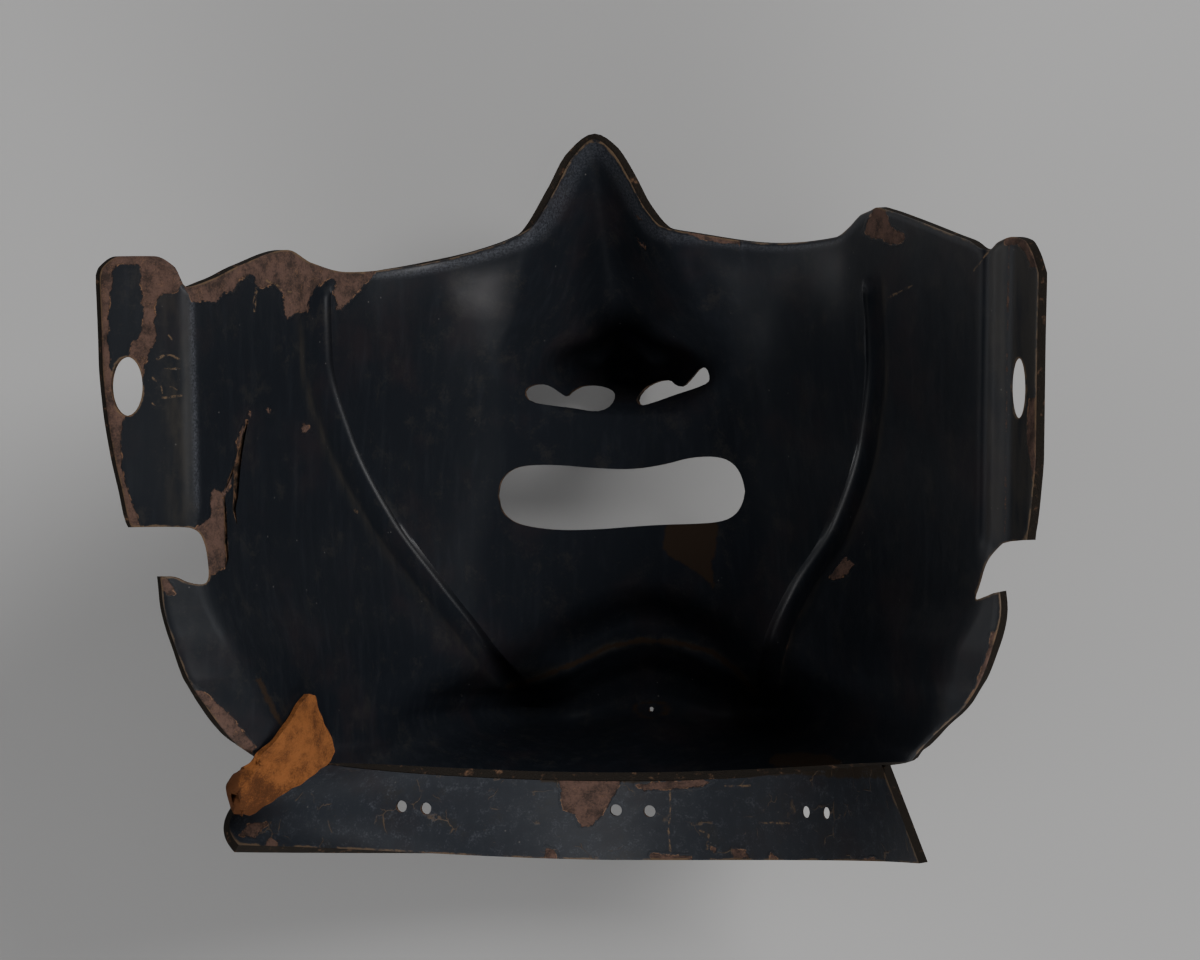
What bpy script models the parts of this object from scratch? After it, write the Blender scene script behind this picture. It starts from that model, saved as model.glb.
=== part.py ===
"""Half mask of lacquered rawhide, lying on its face with its hollow upwards.

The model is in metres, +Z up. +X runs across the face, +Y from the throat to the bridge of the nose,
and the hollow of the mask opens upwards. The mask stands on the tip of its nose and on the two corners
of its chin. Heights across the face are shares of FACE_DEPTH, places across it are shares of half of
FACE_WIDTH, and places up it are shares of FACE_HEIGHT, measured from the seam of the neck flange.
"""
from collections import namedtuple
import math

import bpy
import numpy as np

# Driving dimensions
FACE_WIDTH = 0.152
FACE_HEIGHT = 0.127
FACE_DEPTH = 0.100
WALL = 0.0018
PIECE_GAP = 0.0004
SIDE_ROLL = 0.002

NOSE_DEPTH = 0.0262
NOSE_HALF_WIDTH = 0.021
WING_DEPTH = 0.0050
WING_RADIUS = 0.0095
WING_SPREAD = 0.0135

CORNER_DEPTH = 0.0055
CORNER_RADIUS = 0.0120
CORNER_RISE = 0.118
RIDGE_TOP_RISE = 0.775
RIDGE_LOW_RISE = 0.105
RIDGE_TOP_FADE = 0.030
RIDGE_LOW_FADE = 0.045
WING_RISE = 0.655
UNDER_NOSE_RISE = 0.562
UNDER_NOSE_FADE = 0.050
WING_UNDERCUT = 1.25
ARCH_DROP = 0.0090
ARCH_HALF_WIDTH = 0.0260

RIDGE_DEPTH = 0.0030
RIDGE_HALF_WIDTH = 0.0025

MOUTH_WIDTH = 0.0500
MOUTH_HEIGHT = 0.0145
NOSTRIL_WIDTH = 0.0165
NOSTRIL_HEIGHT = 0.0062
DRAIN_DIAMETER = 0.0014

EAR_HOLE_WIDTH = 0.0055
EAR_HOLE_LENGTH = 0.0112
LEFT_EAR_WIDTH = 0.0160
RIGHT_EAR_WIDTH = 0.0104
LEFT_EAR_ANGLE = math.radians(28)
RIGHT_EAR_ANGLE = math.radians(62)
CHANNEL_WIDTH = 0.0051
LEFT_CHANNEL_ANGLE = math.radians(4)
RIGHT_CHANNEL_ANGLE = math.radians(20)
CHANNEL_REACH = 0.0009
JAW_FLANGE_WIDTH = 0.0120
BEND_REACH = 0.0022

NECK_WIDTH = 0.0180
NECK_DROP = 0.0060
NECK_END_RISE = 0.0120
NECK_SPREAD = 0.10
NECK_LEFT_BULGE = 0.0085
SEAM_LIFT = 0.0035
NECK_LEFT_SKEW = 0.0110
NECK_RIGHT_SKEW = 0.0025
NECK_LEFT_LIFT = 0.0055
NECK_RIGHT_LIFT = 0.0025
LACING_DIAMETER = 0.0024

TAB_LENGTH = 0.0250
TAB_WIDTH = 0.0120
TAB_THICKNESS = 0.0011
TAB_LIFT = 0.0005
TAB_HEADING = math.radians(244)
TAB_DROOP = 0.30
TAB_CURL_RADIUS = 0.0022
TAB_CURL_TURN = math.radians(170)

HALF_WIDTH = FACE_WIDTH / 2

# Heights of the inner wall, without nose and ridges, at six places from the middle to the bend
Section = namedtuple("Section", "rise middle lip cheek ridge side bend")
STATIONS = (0.0, 0.2, 0.4, 0.6, 0.8, 1.0)
SECTIONS = (
    Section(0.000, 0.380, 0.390, 0.420, 0.474, 0.562, 0.730),
    Section(0.063, 0.170, 0.180, 0.250, 0.370, 0.540, 0.805),
    Section(0.090, 0.082, 0.090, 0.160, 0.330, 0.552, 0.840),
    Section(0.118, 0.062, 0.064, 0.095, 0.308, 0.563, 0.866),
    Section(0.150, 0.070, 0.070, 0.078, 0.300, 0.580, 0.890),
    Section(0.182, 0.106, 0.108, 0.130, 0.336, 0.608, 0.913),
    Section(0.203, 0.120, 0.134, 0.205, 0.378, 0.628, 0.929),
    Section(0.235, 0.100, 0.128, 0.262, 0.420, 0.660, 0.955),
    Section(0.305, 0.165, 0.190, 0.300, 0.450, 0.690, 0.985),
    Section(0.433, 0.190, 0.220, 0.310, 0.480, 0.720, 1.012),
    Section(0.567, 0.220, 0.240, 0.340, 0.500, 0.735, 1.008),
    Section(0.709, 0.330, 0.340, 0.380, 0.520, 0.745, 1.004),
    Section(0.819, 0.415, 0.410, 0.425, 0.505, 0.740, 1.001),
    Section(1.000, 0.430, 0.425, 0.430, 0.505, 0.740, 0.995),
)

# Places of the bends and of the two cord ridges, as shares of the half width
Guide = namedtuple("Guide", "rise left_bend left_ridge middle right_ridge right_bend")
GUIDES = (
    Guide(0.000, -0.690, -0.260, 0.060, 0.360, 0.760),
    Guide(0.024, -0.730, -0.265, 0.060, 0.365, 0.790),
    Guide(0.102, -0.800, -0.285, 0.060, 0.380, 0.880),
    Guide(0.205, -0.874, -0.375, 0.060, 0.425, 0.925),
    Guide(0.285, -0.934, -0.470, 0.050, 0.490, 0.985),
    Guide(0.390, -0.970, -0.585, 0.030, 0.610, 1.005),
    Guide(0.524, -0.975, -0.680, 0.010, 0.690, 1.008),
    Guide(0.650, -0.980, -0.725, 0.000, 0.713, 1.011),
    Guide(0.800, -0.986, -0.730, -0.020, 0.700, 1.015),
    Guide(1.000, -0.994, -0.725, -0.045, 0.690, 1.020),
)

# How far the wall past the bend reaches, as a share of its flange's width, and how steeply it rises
Reach = namedtuple("Reach", "rise left right left_slope right_slope")
JAW_REACHES = (
    Reach(0.000, 1.00, 0.34, 1.10, 1.10),
    Reach(0.040, 1.00, 0.42, 1.10, 1.10),
    Reach(0.110, 0.98, 0.54, 0.83, 1.00),
    Reach(0.205, 0.90, 0.66, 0.50, 0.95),
    Reach(0.315, 0.68, 0.36, 0.42, 0.90),
    Reach(0.380, 0.60, 0.30, 0.40, 0.90),
)

# The same for the outer edges of the ear flanges, as shares of their widths
EarReach = namedtuple("EarReach", "rise left right")
EAR_REACHES = (
    EarReach(0.380, 0.70, 0.86),
    EarReach(0.400, 0.76, 0.90),
    EarReach(0.440, 0.81, 0.95),
    EarReach(0.500, 0.90, 1.00),
    EarReach(0.570, 0.97, 1.00),
    EarReach(0.640, 1.00, 1.00),
    EarReach(0.800, 1.00, 1.00),
)

# Outline of the top rim, from ear to ear
Rim = namedtuple("Rim", "side rise")
TOP_RIM = (
    Rim(-1.205, 0.745),
    Rim(-1.190, 0.780),
    Rim(-1.150, 0.797),
    Rim(-1.070, 0.798),
    Rim(-1.020, 0.782),
    Rim(-0.992, 0.752),
    Rim(-0.940, 0.765),
    Rim(-0.887, 0.787),
    Rim(-0.787, 0.815),
    Rim(-0.740, 0.797),
    Rim(-0.671, 0.785),
    Rim(-0.549, 0.794),
    Rim(-0.343, 0.823),
    Rim(-0.215, 0.856),
    Rim(-0.150, 0.916),
    Rim(-0.105, 0.968),
    Rim(-0.045, 0.998),
    Rim(0.000, 0.980),
    Rim(0.043, 0.940),
    Rim(0.090, 0.888),
    Rim(0.140, 0.858),
    Rim(0.210, 0.849),
    Rim(0.450, 0.831),
    Rim(0.630, 0.835),
    Rim(0.685, 0.858),
    Rim(0.718, 0.877),
    Rim(0.866, 0.846),
    Rim(1.000, 0.803),
    Rim(1.030, 0.805),
    Rim(1.065, 0.819),
    Rim(1.110, 0.821),
    Rim(1.140, 0.805),
    Rim(1.152, 0.775),
)

# Nose: depth along its line as a share of NOSE_DEPTH, its half width and where its line runs
Nose = namedtuple("Nose", "rise depth half_width line")
NOSE = (
    Nose(0.545, 0.00, 0.92, -0.010),
    Nose(0.566, 0.03, 0.93, -0.010),
    Nose(0.582, 0.18, 0.95, -0.010),
    Nose(0.606, 0.62, 0.98, -0.008),
    Nose(0.630, 0.97, 1.00, -0.005),
    Nose(0.645, 1.00, 1.00, -0.005),
    Nose(0.700, 0.94, 0.95, -0.010),
    Nose(0.760, 0.87, 0.86, -0.020),
    Nose(0.819, 0.78, 0.76, -0.032),
    Nose(0.900, 0.50, 0.62, -0.040),
    Nose(1.000, 0.19, 0.45, -0.045),
)

# Half outline of the mouth slot, as shares of its width and height from its middle
Lip = namedtuple("Lip", "side upper lower")
MOUTH = (
    Lip(-0.500, 0.00, -0.02),
    Lip(-0.490, 0.20, -0.22),
    Lip(-0.455, 0.34, -0.36),
    Lip(-0.400, 0.41, -0.44),
    Lip(-0.280, 0.42, -0.50),
    Lip(-0.120, 0.37, -0.49),
    Lip(0.020, 0.35, -0.45),
    Lip(0.150, 0.41, -0.42),
    Lip(0.280, 0.53, -0.41),
    Lip(0.400, 0.53, -0.38),
    Lip(0.460, 0.42, -0.28),
    Lip(0.490, 0.24, -0.12),
    Lip(0.500, 0.06, 0.04),
)

# Outlines of the nostrils, as shares of their width and height
NOSTRIL_LEFT = ((-0.48, 0.11), (-0.44, 0.32), (-0.32, 0.44), (-0.20, 0.36), (-0.07, 0.11), (-0.01, 0.01),
                (0.04, 0.22), (0.15, 0.41), (0.33, 0.40), (0.48, 0.28), (0.56, 0.06), (0.55, -0.26),
                (0.44, -0.46), (0.28, -0.46), (0.09, -0.36), (-0.18, -0.28), (-0.42, -0.17))
NOSTRIL_RIGHT = ((-0.45, -0.28), (-0.38, 0.09), (-0.22, 0.30), (-0.04, 0.34), (0.06, 0.13), (0.16, 0.09),
                 (0.28, 0.43), (0.39, 0.72), (0.49, 0.68), (0.53, 0.36), (0.51, 0.20), (0.35, 0.04),
                 (0.08, -0.16), (-0.24, -0.46), (-0.38, -0.54))
Place = namedtuple("Place", "side rise")
MOUTH_PLACE = Place(0.009, 0.438)
NOSTRIL_LEFT_PLACE = Place(-0.146, 0.594)
NOSTRIL_RIGHT_PLACE = Place(0.130, 0.606)
DRAIN_PLACE = Place(0.062, 0.091)
LEFT_EAR_HOLE = Place(-1.132, 0.602)
RIGHT_EAR_HOLE = Place(1.100, 0.597)

# Corners of the notches between the ear and the jaw flanges, from the ear flange down
LEFT_NOTCH = (Place(-1.300, 0.388), Place(-1.000, 0.392), Place(-0.965, 0.386), Place(-0.952, 0.368),
              Place(-0.944, 0.340), Place(-0.940, 0.312), Place(-0.951, 0.303), Place(-0.988, 0.306),
              Place(-1.022, 0.3165), Place(-1.047, 0.3165), Place(-1.300, 0.3165))
RIGHT_NOTCH = (Place(1.300, 0.373), Place(1.070, 0.374), Place(1.037, 0.356), Place(1.014, 0.337),
               Place(0.999, 0.305), Place(0.984, 0.282), Place(1.004, 0.286), Place(1.051, 0.298),
               Place(1.300, 0.315))

# Ends of the neck flange's root, and its lacing holes as shares of the half width and of NECK_WIDTH
NECK_LEFT_END = -0.675
NECK_RIGHT_END = 0.715
Hole = namedtuple("Hole", "side drop across")
LACING = (Hole(-0.545, 0.36, 0.83), Hole(-0.485, 0.39, 0.83), Hole(0.002, 0.43, 1.00),
          Hole(0.091, 0.44, 1.00), Hole(0.515, 0.41, 0.60), Hole(0.571, 0.41, 0.55))

# Where the leather tab starts on the wall, and its borders: shares of its length, then of its width
TAB_START = Place(-0.745, 0.133)
Border = namedtuple("Border", "along left right")
CURL_START = 0.48
CURL_SPREAD = 0.20
FLAT_CURL = 0.08
TAB_BORDERS = (
    Border(0.00, 0.02, 0.08),
    Border(0.10, 0.01, 0.26),
    Border(0.20, 0.01, 0.45),
    Border(0.30, 0.00, 0.67),
    Border(0.40, -0.05, 0.73),
    Border(0.50, -0.13, 0.66),
    Border(0.60, -0.17, 0.56),
    Border(0.72, -0.30, 0.42),
    Border(0.82, -0.33, 0.29),
    Border(0.92, -0.22, 0.18),
    Border(1.00, -0.12, 0.10),
)

# Rows of the moulded wall: shares of the height, then shares of the way on to the rim
LEVEL_ROWS = (0.020, 0.043, 0.067, 0.090, 0.112, 0.133, 0.150, 0.165, 0.180, 0.192, 0.204, 0.218, 0.235,
              0.262, 0.300, 0.340, 0.385, 0.430, 0.475, 0.520, 0.548, 0.562, 0.575, 0.588, 0.602,
              0.616, 0.630, 0.645, 0.670)
RIM_ROWS = (0.14, 0.30, 0.47, 0.64, 0.81, 0.93, 1.00)
EAR_TOP = 0.80

# Columns between one guide and the next, as shares of the way between them
FLANGE_COLUMNS = (0.0, 0.12, 0.55)
MOST_CHANNEL = 0.6
SIDE_COLUMNS = (0.12, 0.25, 0.40, 0.56, 0.72)
RIDGE_COLUMNS = (-1.0, -0.6, -0.25, 0.1, 0.45, 0.9)
NECK_COLUMNS = 41
NECK_ROWS = (0.0, 0.25, 0.5, 0.75, 1.0)
TAB_ROWS = 13
TAB_COLUMNS = 7
TAB_CURL_COLUMNS = 6
CHEEK_COLUMNS = (0.22, 0.34, 0.45, 0.56, 0.66, 0.75, 0.83, 0.90, 0.96)


def read_table(knots, values, at):
    """Read a smooth curve that passes through values at knots and never swings past them."""
    knots = np.asarray(knots, dtype=float)
    values = np.asarray(values, dtype=float)
    place = np.clip(np.asarray(at, dtype=float), knots[0], knots[-1])
    if values.ndim == 1:
        values = np.repeat(values[:, None], place.size, axis=1)
    steps = np.diff(knots)
    slopes = np.diff(values, axis=0) / steps[:, None]
    product = slopes[:-1] * slopes[1:]
    total = slopes[:-1] + slopes[1:]
    inner = np.where(product > 0, 2 * product / np.where(total == 0, 1, total), 0)
    tangents = np.vstack([slopes[:1], inner, slopes[-1:]])
    flat = place.ravel()
    row = np.clip(np.searchsorted(knots, flat, side="right") - 1, 0, len(steps) - 1)
    column = np.arange(flat.size)
    width = steps[row]
    t = (flat - knots[row]) / width
    start = values[row, column]
    end = values[row + 1, column]
    lead = tangents[row, column] * width
    tail = tangents[row + 1, column] * width
    read = (start * (1 + 2 * t) * (1 - t) ** 2 + lead * t * (1 - t) ** 2
            + end * t * t * (3 - 2 * t) - tail * t * t * (1 - t))
    return read.reshape(place.shape)


def column_of(table, field):
    """Take one named column out of a table."""
    return [getattr(entry, field) for entry in table]


def follow(table, field, rise):
    """Read a named column of a table at places up the face."""
    return read_table(column_of(table, "rise"), column_of(table, field), rise)


def ease(amount):
    """Turn a share from 0 to 1 into a share with soft ends."""
    share = np.clip(amount, 0, 1)
    return share * share * (3 - 2 * share)


def guide_line(field, rise):
    """Give a guide's place across the face, in metres."""
    return follow(GUIDES, field, rise) * HALF_WIDTH


def seam_rise(x):
    """Give how far the seam of the neck flange rises towards the ears, in metres."""
    return SEAM_LIFT * (x / (0.72 * HALF_WIDTH)) ** 2


def rim_rise(x):
    """Give the height up the face of the top rim, in metres."""
    return read_table(column_of(TOP_RIM, "side"), column_of(TOP_RIM, "rise"), x / HALF_WIDTH) * FACE_HEIGHT


def flange_width(side, rise):
    """Give how far the wall reaches past its bend: the ear flange, then the jaw flange under it."""
    ear_width = LEFT_EAR_WIDTH if side == "left" else RIGHT_EAR_WIDTH
    jaw = follow(JAW_REACHES, side, rise) * JAW_FLANGE_WIDTH
    return np.where(rise > JAW_REACHES[-1].rise, follow(EAR_REACHES, side, rise) * ear_width, jaw)


def flange_slope(side, rise, left_angle, right_angle):
    """Give how steeply the wall rises past its bend: at an ear flange's angle, or as the jaw flange does."""
    angle = left_angle if side == "left" else right_angle
    jaw = follow(JAW_REACHES, side + "_slope", rise)
    return np.where(rise > JAW_REACHES[-1].rise, math.tan(angle), jaw)


def rounded(past, reach):
    """Give how far a place lies past a bend, rounded off over a reach to both sides of it."""
    turn = np.clip((past + reach) / (2 * reach), 0, 1)
    return np.where(past > reach, past, reach * turn * turn)


def ridge_depth(x, rise, field):
    """Give how deep a cord ridge is pressed into the inner wall."""
    step = 0.004
    line = guide_line(field, rise)
    run = (guide_line(field, rise + step) - guide_line(field, rise - step)) / (2 * step * FACE_HEIGHT)
    away = np.abs(x - line) / np.sqrt(1 + run * run) / RIDGE_HALF_WIDTH
    ends = ease((RIDGE_TOP_RISE - rise) / RIDGE_TOP_FADE) * ease((rise - RIDGE_LOW_RISE) / RIDGE_LOW_FADE)
    return RIDGE_DEPTH * (1 - ease(away)) * ends


def corner_depth(x, rise):
    """Give how deep the two corners of the chin are pressed, at the lower ends of the cord ridges."""
    depth = 0
    for field in ("left_ridge", "right_ridge"):
        corner = guide_line(field, np.array([CORNER_RISE]))
        away = np.hypot(x - corner, (rise - CORNER_RISE) * FACE_HEIGHT) / CORNER_RADIUS
        depth = depth + CORNER_DEPTH * (1 - ease(away))
    return depth


def nose_depth(x, rise):
    """Give how deep the nose is pressed into the wall, with its two wings."""
    line = follow(NOSE, "line", rise) * HALF_WIDTH
    half = follow(NOSE, "half_width", rise) * NOSE_HALF_WIDTH
    away = np.abs(x - line) / half
    bridge = NOSE_DEPTH * follow(NOSE, "depth", rise) * (1 - ease(away))
    wings = 0
    for side in (-1, 1):
        across = (x - line - side * WING_SPREAD) / WING_RADIUS
        along = (rise - WING_RISE) * FACE_HEIGHT / WING_RADIUS
        along = np.where(along < 0, along * WING_UNDERCUT, along)
        wings = wings + WING_DEPTH * (1 - ease(np.sqrt(across ** 2 + along ** 2)))
    under = ease((rise - UNDER_NOSE_RISE) / UNDER_NOSE_FADE)
    return bridge + wings * under


def face_height(x, y):
    """Give the height of the inner wall over any place of the face."""
    rise = y / FACE_HEIGHT
    middle = guide_line("middle", rise)
    left_bend = guide_line("left_bend", rise)
    right_bend = guide_line("right_bend", rise)
    left = x < middle
    bend = np.where(left, left_bend, right_bend)
    share = np.abs(x - middle) / np.abs(bend - middle)
    arch = ease(np.abs(x - middle) / ARCH_HALF_WIDTH) * ease(rise / 0.11) * ease((0.42 - rise) / 0.17)
    arched = rise + arch * ARCH_DROP / FACE_HEIGHT
    fields = ("lip", "middle", "lip", "cheek", "ridge", "side", "bend")
    heights = np.array([follow(SECTIONS, field, arched).ravel() for field in fields]) * FACE_DEPTH
    stations = (-STATIONS[1],) + STATIONS
    wall = read_table(stations, heights, np.minimum(share, 1).ravel()).reshape(share.shape)
    wall = wall + SIDE_ROLL * x / HALF_WIDTH
    wall = wall - ridge_depth(x, rise, "left_ridge") - ridge_depth(x, rise, "right_ridge")
    wall = wall - corner_depth(x, rise) - nose_depth(x, rise)
    past = np.abs(x - middle) - np.abs(bend - middle)
    inner = (FACE_DEPTH * (follow(SECTIONS, "bend", rise) - follow(SECTIONS, "side", rise))
             / (np.abs(bend - middle) * (STATIONS[-1] - STATIONS[-2])))
    channel = np.where(left, flange_slope("left", rise, LEFT_CHANNEL_ANGLE, RIGHT_CHANNEL_ANGLE),
                       flange_slope("right", rise, LEFT_CHANNEL_ANGLE, RIGHT_CHANNEL_ANGLE))
    outer = np.where(left, flange_slope("left", rise, LEFT_EAR_ANGLE, RIGHT_EAR_ANGLE),
                     flange_slope("right", rise, LEFT_EAR_ANGLE, RIGHT_EAR_ANGLE))
    wall = wall + inner * np.maximum(past, 0) + (channel - inner) * rounded(past, BEND_REACH)
    return wall + (outer - channel) * rounded(past - CHANNEL_WIDTH, CHANNEL_REACH)


def flange_reaches(width):
    """Give how far past the bend the flange's columns of points lie, from its edge inwards."""
    turn = np.minimum(CHANNEL_WIDTH, width * MOST_CHANNEL)
    half = np.minimum(CHANNEL_REACH, turn / 4)
    reaches = [width - (width - turn - half) * share for share in FLANGE_COLUMNS]
    return reaches + [turn + half, turn, turn - half, turn * 0.55]


def shell_columns(rise):
    """Give the places across the face where the moulded wall's points lie, for each row."""
    guides = {field: guide_line(field, rise) for field in Guide._fields[1:]}
    left_edge = guides["left_bend"] - flange_width("left", rise)
    right_edge = guides["right_bend"] + flange_width("right", rise)
    left_width = guides["left_bend"] - left_edge
    right_width = right_edge - guides["right_bend"]
    columns = [guides["left_bend"] - reach for reach in flange_reaches(left_width)]
    columns += [guides["left_bend"] + BEND_REACH * share for share in (0.0, 0.5, 1.0)]
    sides = (("left_bend", "left_ridge"), ("right_bend", "right_ridge"))
    halves = []
    for bend, ridge in sides:
        sign = 1 if ridge == "left_ridge" else -1
        start = guides[bend] + sign * BEND_REACH
        stop = guides[ridge] - sign * RIDGE_HALF_WIDTH
        half = [start + (stop - start) * share / SIDE_COLUMNS[-1] for share in SIDE_COLUMNS[:-1]]
        half += [guides[ridge] + sign * RIDGE_HALF_WIDTH * share for share in RIDGE_COLUMNS]
        start = guides[ridge] + sign * RIDGE_HALF_WIDTH * RIDGE_COLUMNS[-1]
        span = guides["middle"] - start
        first = CHEEK_COLUMNS[0] * 0.6
        half += [start + span * (share - first) / (1 - first) for share in CHEEK_COLUMNS]
        halves.append(half)
    columns += halves[0] + [guides["middle"]] + halves[1][::-1]
    columns += [guides["right_bend"] - BEND_REACH * share for share in (1.0, 0.5, 0.0)]
    columns += [guides["right_bend"] + reach for reach in flange_reaches(right_width)[::-1]]
    return np.array(columns)


def shell_points():
    """Give the inner wall as a grid of points, row by row from the seam to the rim."""
    rows = []
    seam_x = shell_columns(np.array([0.0]))[:, 0]
    rows.append((seam_x, seam_rise(seam_x)))
    for level in LEVEL_ROWS:
        x = shell_columns(np.array([level]))[:, 0]
        lift = seam_rise(x) * (1 - ease(level / 0.2))
        rows.append((x, level * FACE_HEIGHT + lift))
    base_x, base_y = rows[-1]
    for share in RIM_ROWS:
        level = LEVEL_ROWS[-1] + (EAR_TOP - LEVEL_ROWS[-1]) * share
        x = shell_columns(np.array([level]))[:, 0]
        rows.append((x, base_y + (rim_rise(x) - base_y) * share))
    x = np.array([row[0] for row in rows])
    y = np.array([row[1] for row in rows])
    return np.stack([x, y, face_height(x, y)], axis=-1)


def grid_normals(points):
    """Give the unit normals of a grid of points, facing up."""
    along = np.gradient(points, axis=0)
    across = np.gradient(points, axis=1)
    normals = np.cross(across, along)
    normals /= np.linalg.norm(normals, axis=-1, keepdims=True)
    return normals


def wall_mesh(name, upper, lower):
    """Close two matching grids of points into one solid wall."""
    rows, columns = upper.shape[:2]
    count = rows * columns
    vertices = np.concatenate([upper.reshape(-1, 3), lower.reshape(-1, 3)])
    faces = []
    for row in range(rows - 1):
        for column in range(columns - 1):
            corner = row * columns + column
            ring = (corner, corner + 1, corner + columns + 1, corner + columns)
            faces.append(ring)
            faces.append(tuple(index + count for index in reversed(ring)))
    border = [column for column in range(columns)]
    border += [row * columns + columns - 1 for row in range(1, rows)]
    border += [(rows - 1) * columns + column for column in range(columns - 2, -1, -1)]
    border += [row * columns for row in range(rows - 2, 0, -1)]
    for index, start in enumerate(border):
        end = border[(index + 1) % len(border)]
        faces.append((start, start + count, end + count, end))
    mesh = bpy.data.meshes.new(name)
    mesh.from_pydata(vertices.tolist(), [], faces)
    mesh.validate()
    return mesh


def material(name, colour, roughness, metallic=0.0):
    """Make a plain finish."""
    finish = bpy.data.materials.new(name)
    finish.use_nodes = True
    shader = finish.node_tree.nodes["Principled BSDF"]
    shader.inputs["Base Color"].default_value = (*colour, 1)
    shader.inputs["Roughness"].default_value = roughness
    shader.inputs["Metallic"].default_value = metallic
    return finish


def add_object(name, mesh, finish=None):
    """Put a mesh in the scene under a plain name."""
    piece = bpy.data.objects.new(name, mesh)
    bpy.context.scene.collection.objects.link(piece)
    if finish:
        mesh.materials.append(finish)
        mesh.shade_smooth()
        mesh.set_sharp_from_angle(angle=math.radians(40))
    return piece


def prism(name, outline, bottom, top):
    """Make an upright cutter from an outline that runs anticlockwise."""
    count = len(outline)
    vertices = [(x, y, bottom) for x, y in outline] + [(x, y, top) for x, y in outline]
    faces = [tuple(reversed(range(count))), tuple(range(count, 2 * count))]
    faces += [(i, (i + 1) % count, (i + 1) % count + count, i + count) for i in range(count)]
    mesh = bpy.data.meshes.new(name)
    mesh.from_pydata(vertices, [], faces)
    cutter = add_object(name, mesh)
    cutter.hide_render = True
    cutter.display_type = "WIRE"
    return cutter


def cut(piece, cutter):
    """Take a cutter out of a piece."""
    modifier = piece.modifiers.new(cutter.name, "BOOLEAN")
    modifier.operation = "DIFFERENCE"
    modifier.solver = "EXACT"
    modifier.object = cutter


def oval(centre, width, height, sides):
    """Give an oval outline, anticlockwise."""
    turns = [2 * math.pi * (i + 0.5) / sides for i in range(sides)]
    return [(centre[0] + width / 2 * math.cos(t), centre[1] + height / 2 * math.sin(t)) for t in turns]


def place_of(place):
    """Turn a place on the face into metres."""
    return place.side * HALF_WIDTH, place.rise * FACE_HEIGHT


def mouth_outline():
    """Give the outline of the mouth slot, anticlockwise."""
    x, y = place_of(MOUTH_PLACE)
    lower = [(x + lip.side * MOUTH_WIDTH, y + lip.lower * MOUTH_HEIGHT) for lip in MOUTH]
    upper = [(x + lip.side * MOUTH_WIDTH, y + lip.upper * MOUTH_HEIGHT) for lip in MOUTH]
    return lower + upper[::-1]


def nostril_outline(place, shape):
    """Give the outline of a nostril, anticlockwise."""
    x, y = place_of(place)
    return [(x + across * NOSTRIL_WIDTH, y + up * NOSTRIL_HEIGHT) for across, up in reversed(shape)]


def make_shell(points):
    """Mould the face and cut its openings."""
    outer = points - grid_normals(points) * WALL
    mesh = wall_mesh("face_shell", points, outer)
    shell = add_object("face_shell", mesh, material("black_lacquer", (0.012, 0.013, 0.016), 0.35))
    low, high = -0.2 * FACE_DEPTH, 1.4 * FACE_DEPTH
    outlines = {
        "mouth_slot": mouth_outline(),
        "left_nostril": nostril_outline(NOSTRIL_LEFT_PLACE, NOSTRIL_LEFT),
        "right_nostril": nostril_outline(NOSTRIL_RIGHT_PLACE, NOSTRIL_RIGHT),
        "chin_drain": oval(place_of(DRAIN_PLACE), DRAIN_DIAMETER, DRAIN_DIAMETER, 12),
        "left_ear_hole": oval(place_of(LEFT_EAR_HOLE), EAR_HOLE_WIDTH, EAR_HOLE_LENGTH, 16),
        "right_ear_hole": oval(place_of(RIGHT_EAR_HOLE), EAR_HOLE_WIDTH * math.cos(RIGHT_EAR_ANGLE),
                               EAR_HOLE_LENGTH, 16),
        "left_notch": [place_of(place) for place in LEFT_NOTCH],
        "right_notch": [place_of(place) for place in RIGHT_NOTCH],
    }
    for name, outline in outlines.items():
        turn = sum(a[0] * b[1] - b[0] * a[1] for a, b in zip(outline, outline[1:] + outline[:1]))
        ordered = outline if turn > 0 else outline[::-1]
        cut(shell, prism(name, ordered, low, high))
    return shell


def neck_points(points):
    """Give the upper face of the neck flange, from its root behind the seam to its flared edge."""
    seam = points[0]
    backed = seam - grid_normals(points)[0] * (WALL + PIECE_GAP)
    x = np.linspace(NECK_LEFT_END, NECK_RIGHT_END, NECK_COLUMNS) * HALF_WIDTH
    root = np.stack([np.interp(x, seam[:, 0], backed[:, axis]) for axis in range(3)], axis=-1)
    share = np.linspace(-1, 1, NECK_COLUMNS)
    skew = np.where(share < 0, NECK_LEFT_SKEW, NECK_RIGHT_SKEW)
    edge = root.copy()
    edge[:, 0] += NECK_SPREAD * x + skew * share ** 3
    edge[:, 1] = np.where(share < 0, NECK_LEFT_LIFT, NECK_RIGHT_LIFT) * share ** 2 - NECK_WIDTH
    edge[:, 2] += (NECK_DROP + NECK_END_RISE) * share ** 2 - NECK_DROP
    rows = np.array([edge + (root - edge) * step for step in NECK_ROWS])
    for row, step in zip(rows, NECK_ROWS):
        row[:, 0] -= NECK_LEFT_BULGE * np.maximum(-share, 0) ** 3 * 4 * step * (1 - step)
    return rows


def make_neck_flange(points):
    """Form the flared strip under the chin and drill its lacing holes."""
    upper = neck_points(points)
    lower = upper - grid_normals(upper) * WALL
    mesh = wall_mesh("neck_flange", upper, lower)
    flange = add_object("neck_flange", mesh, material("neck_lacquer", (0.016, 0.018, 0.022), 0.32))
    for number, hole in enumerate(LACING, start=1):
        x = hole.side * HALF_WIDTH
        outline = oval((x, -hole.drop * NECK_WIDTH), LACING_DIAMETER * hole.across, LACING_DIAMETER, 10)
        cut(flange, prism("lacing_hole_%d" % number, outline, -0.2 * FACE_DEPTH, 1.4 * FACE_DEPTH))
    return flange


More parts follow.
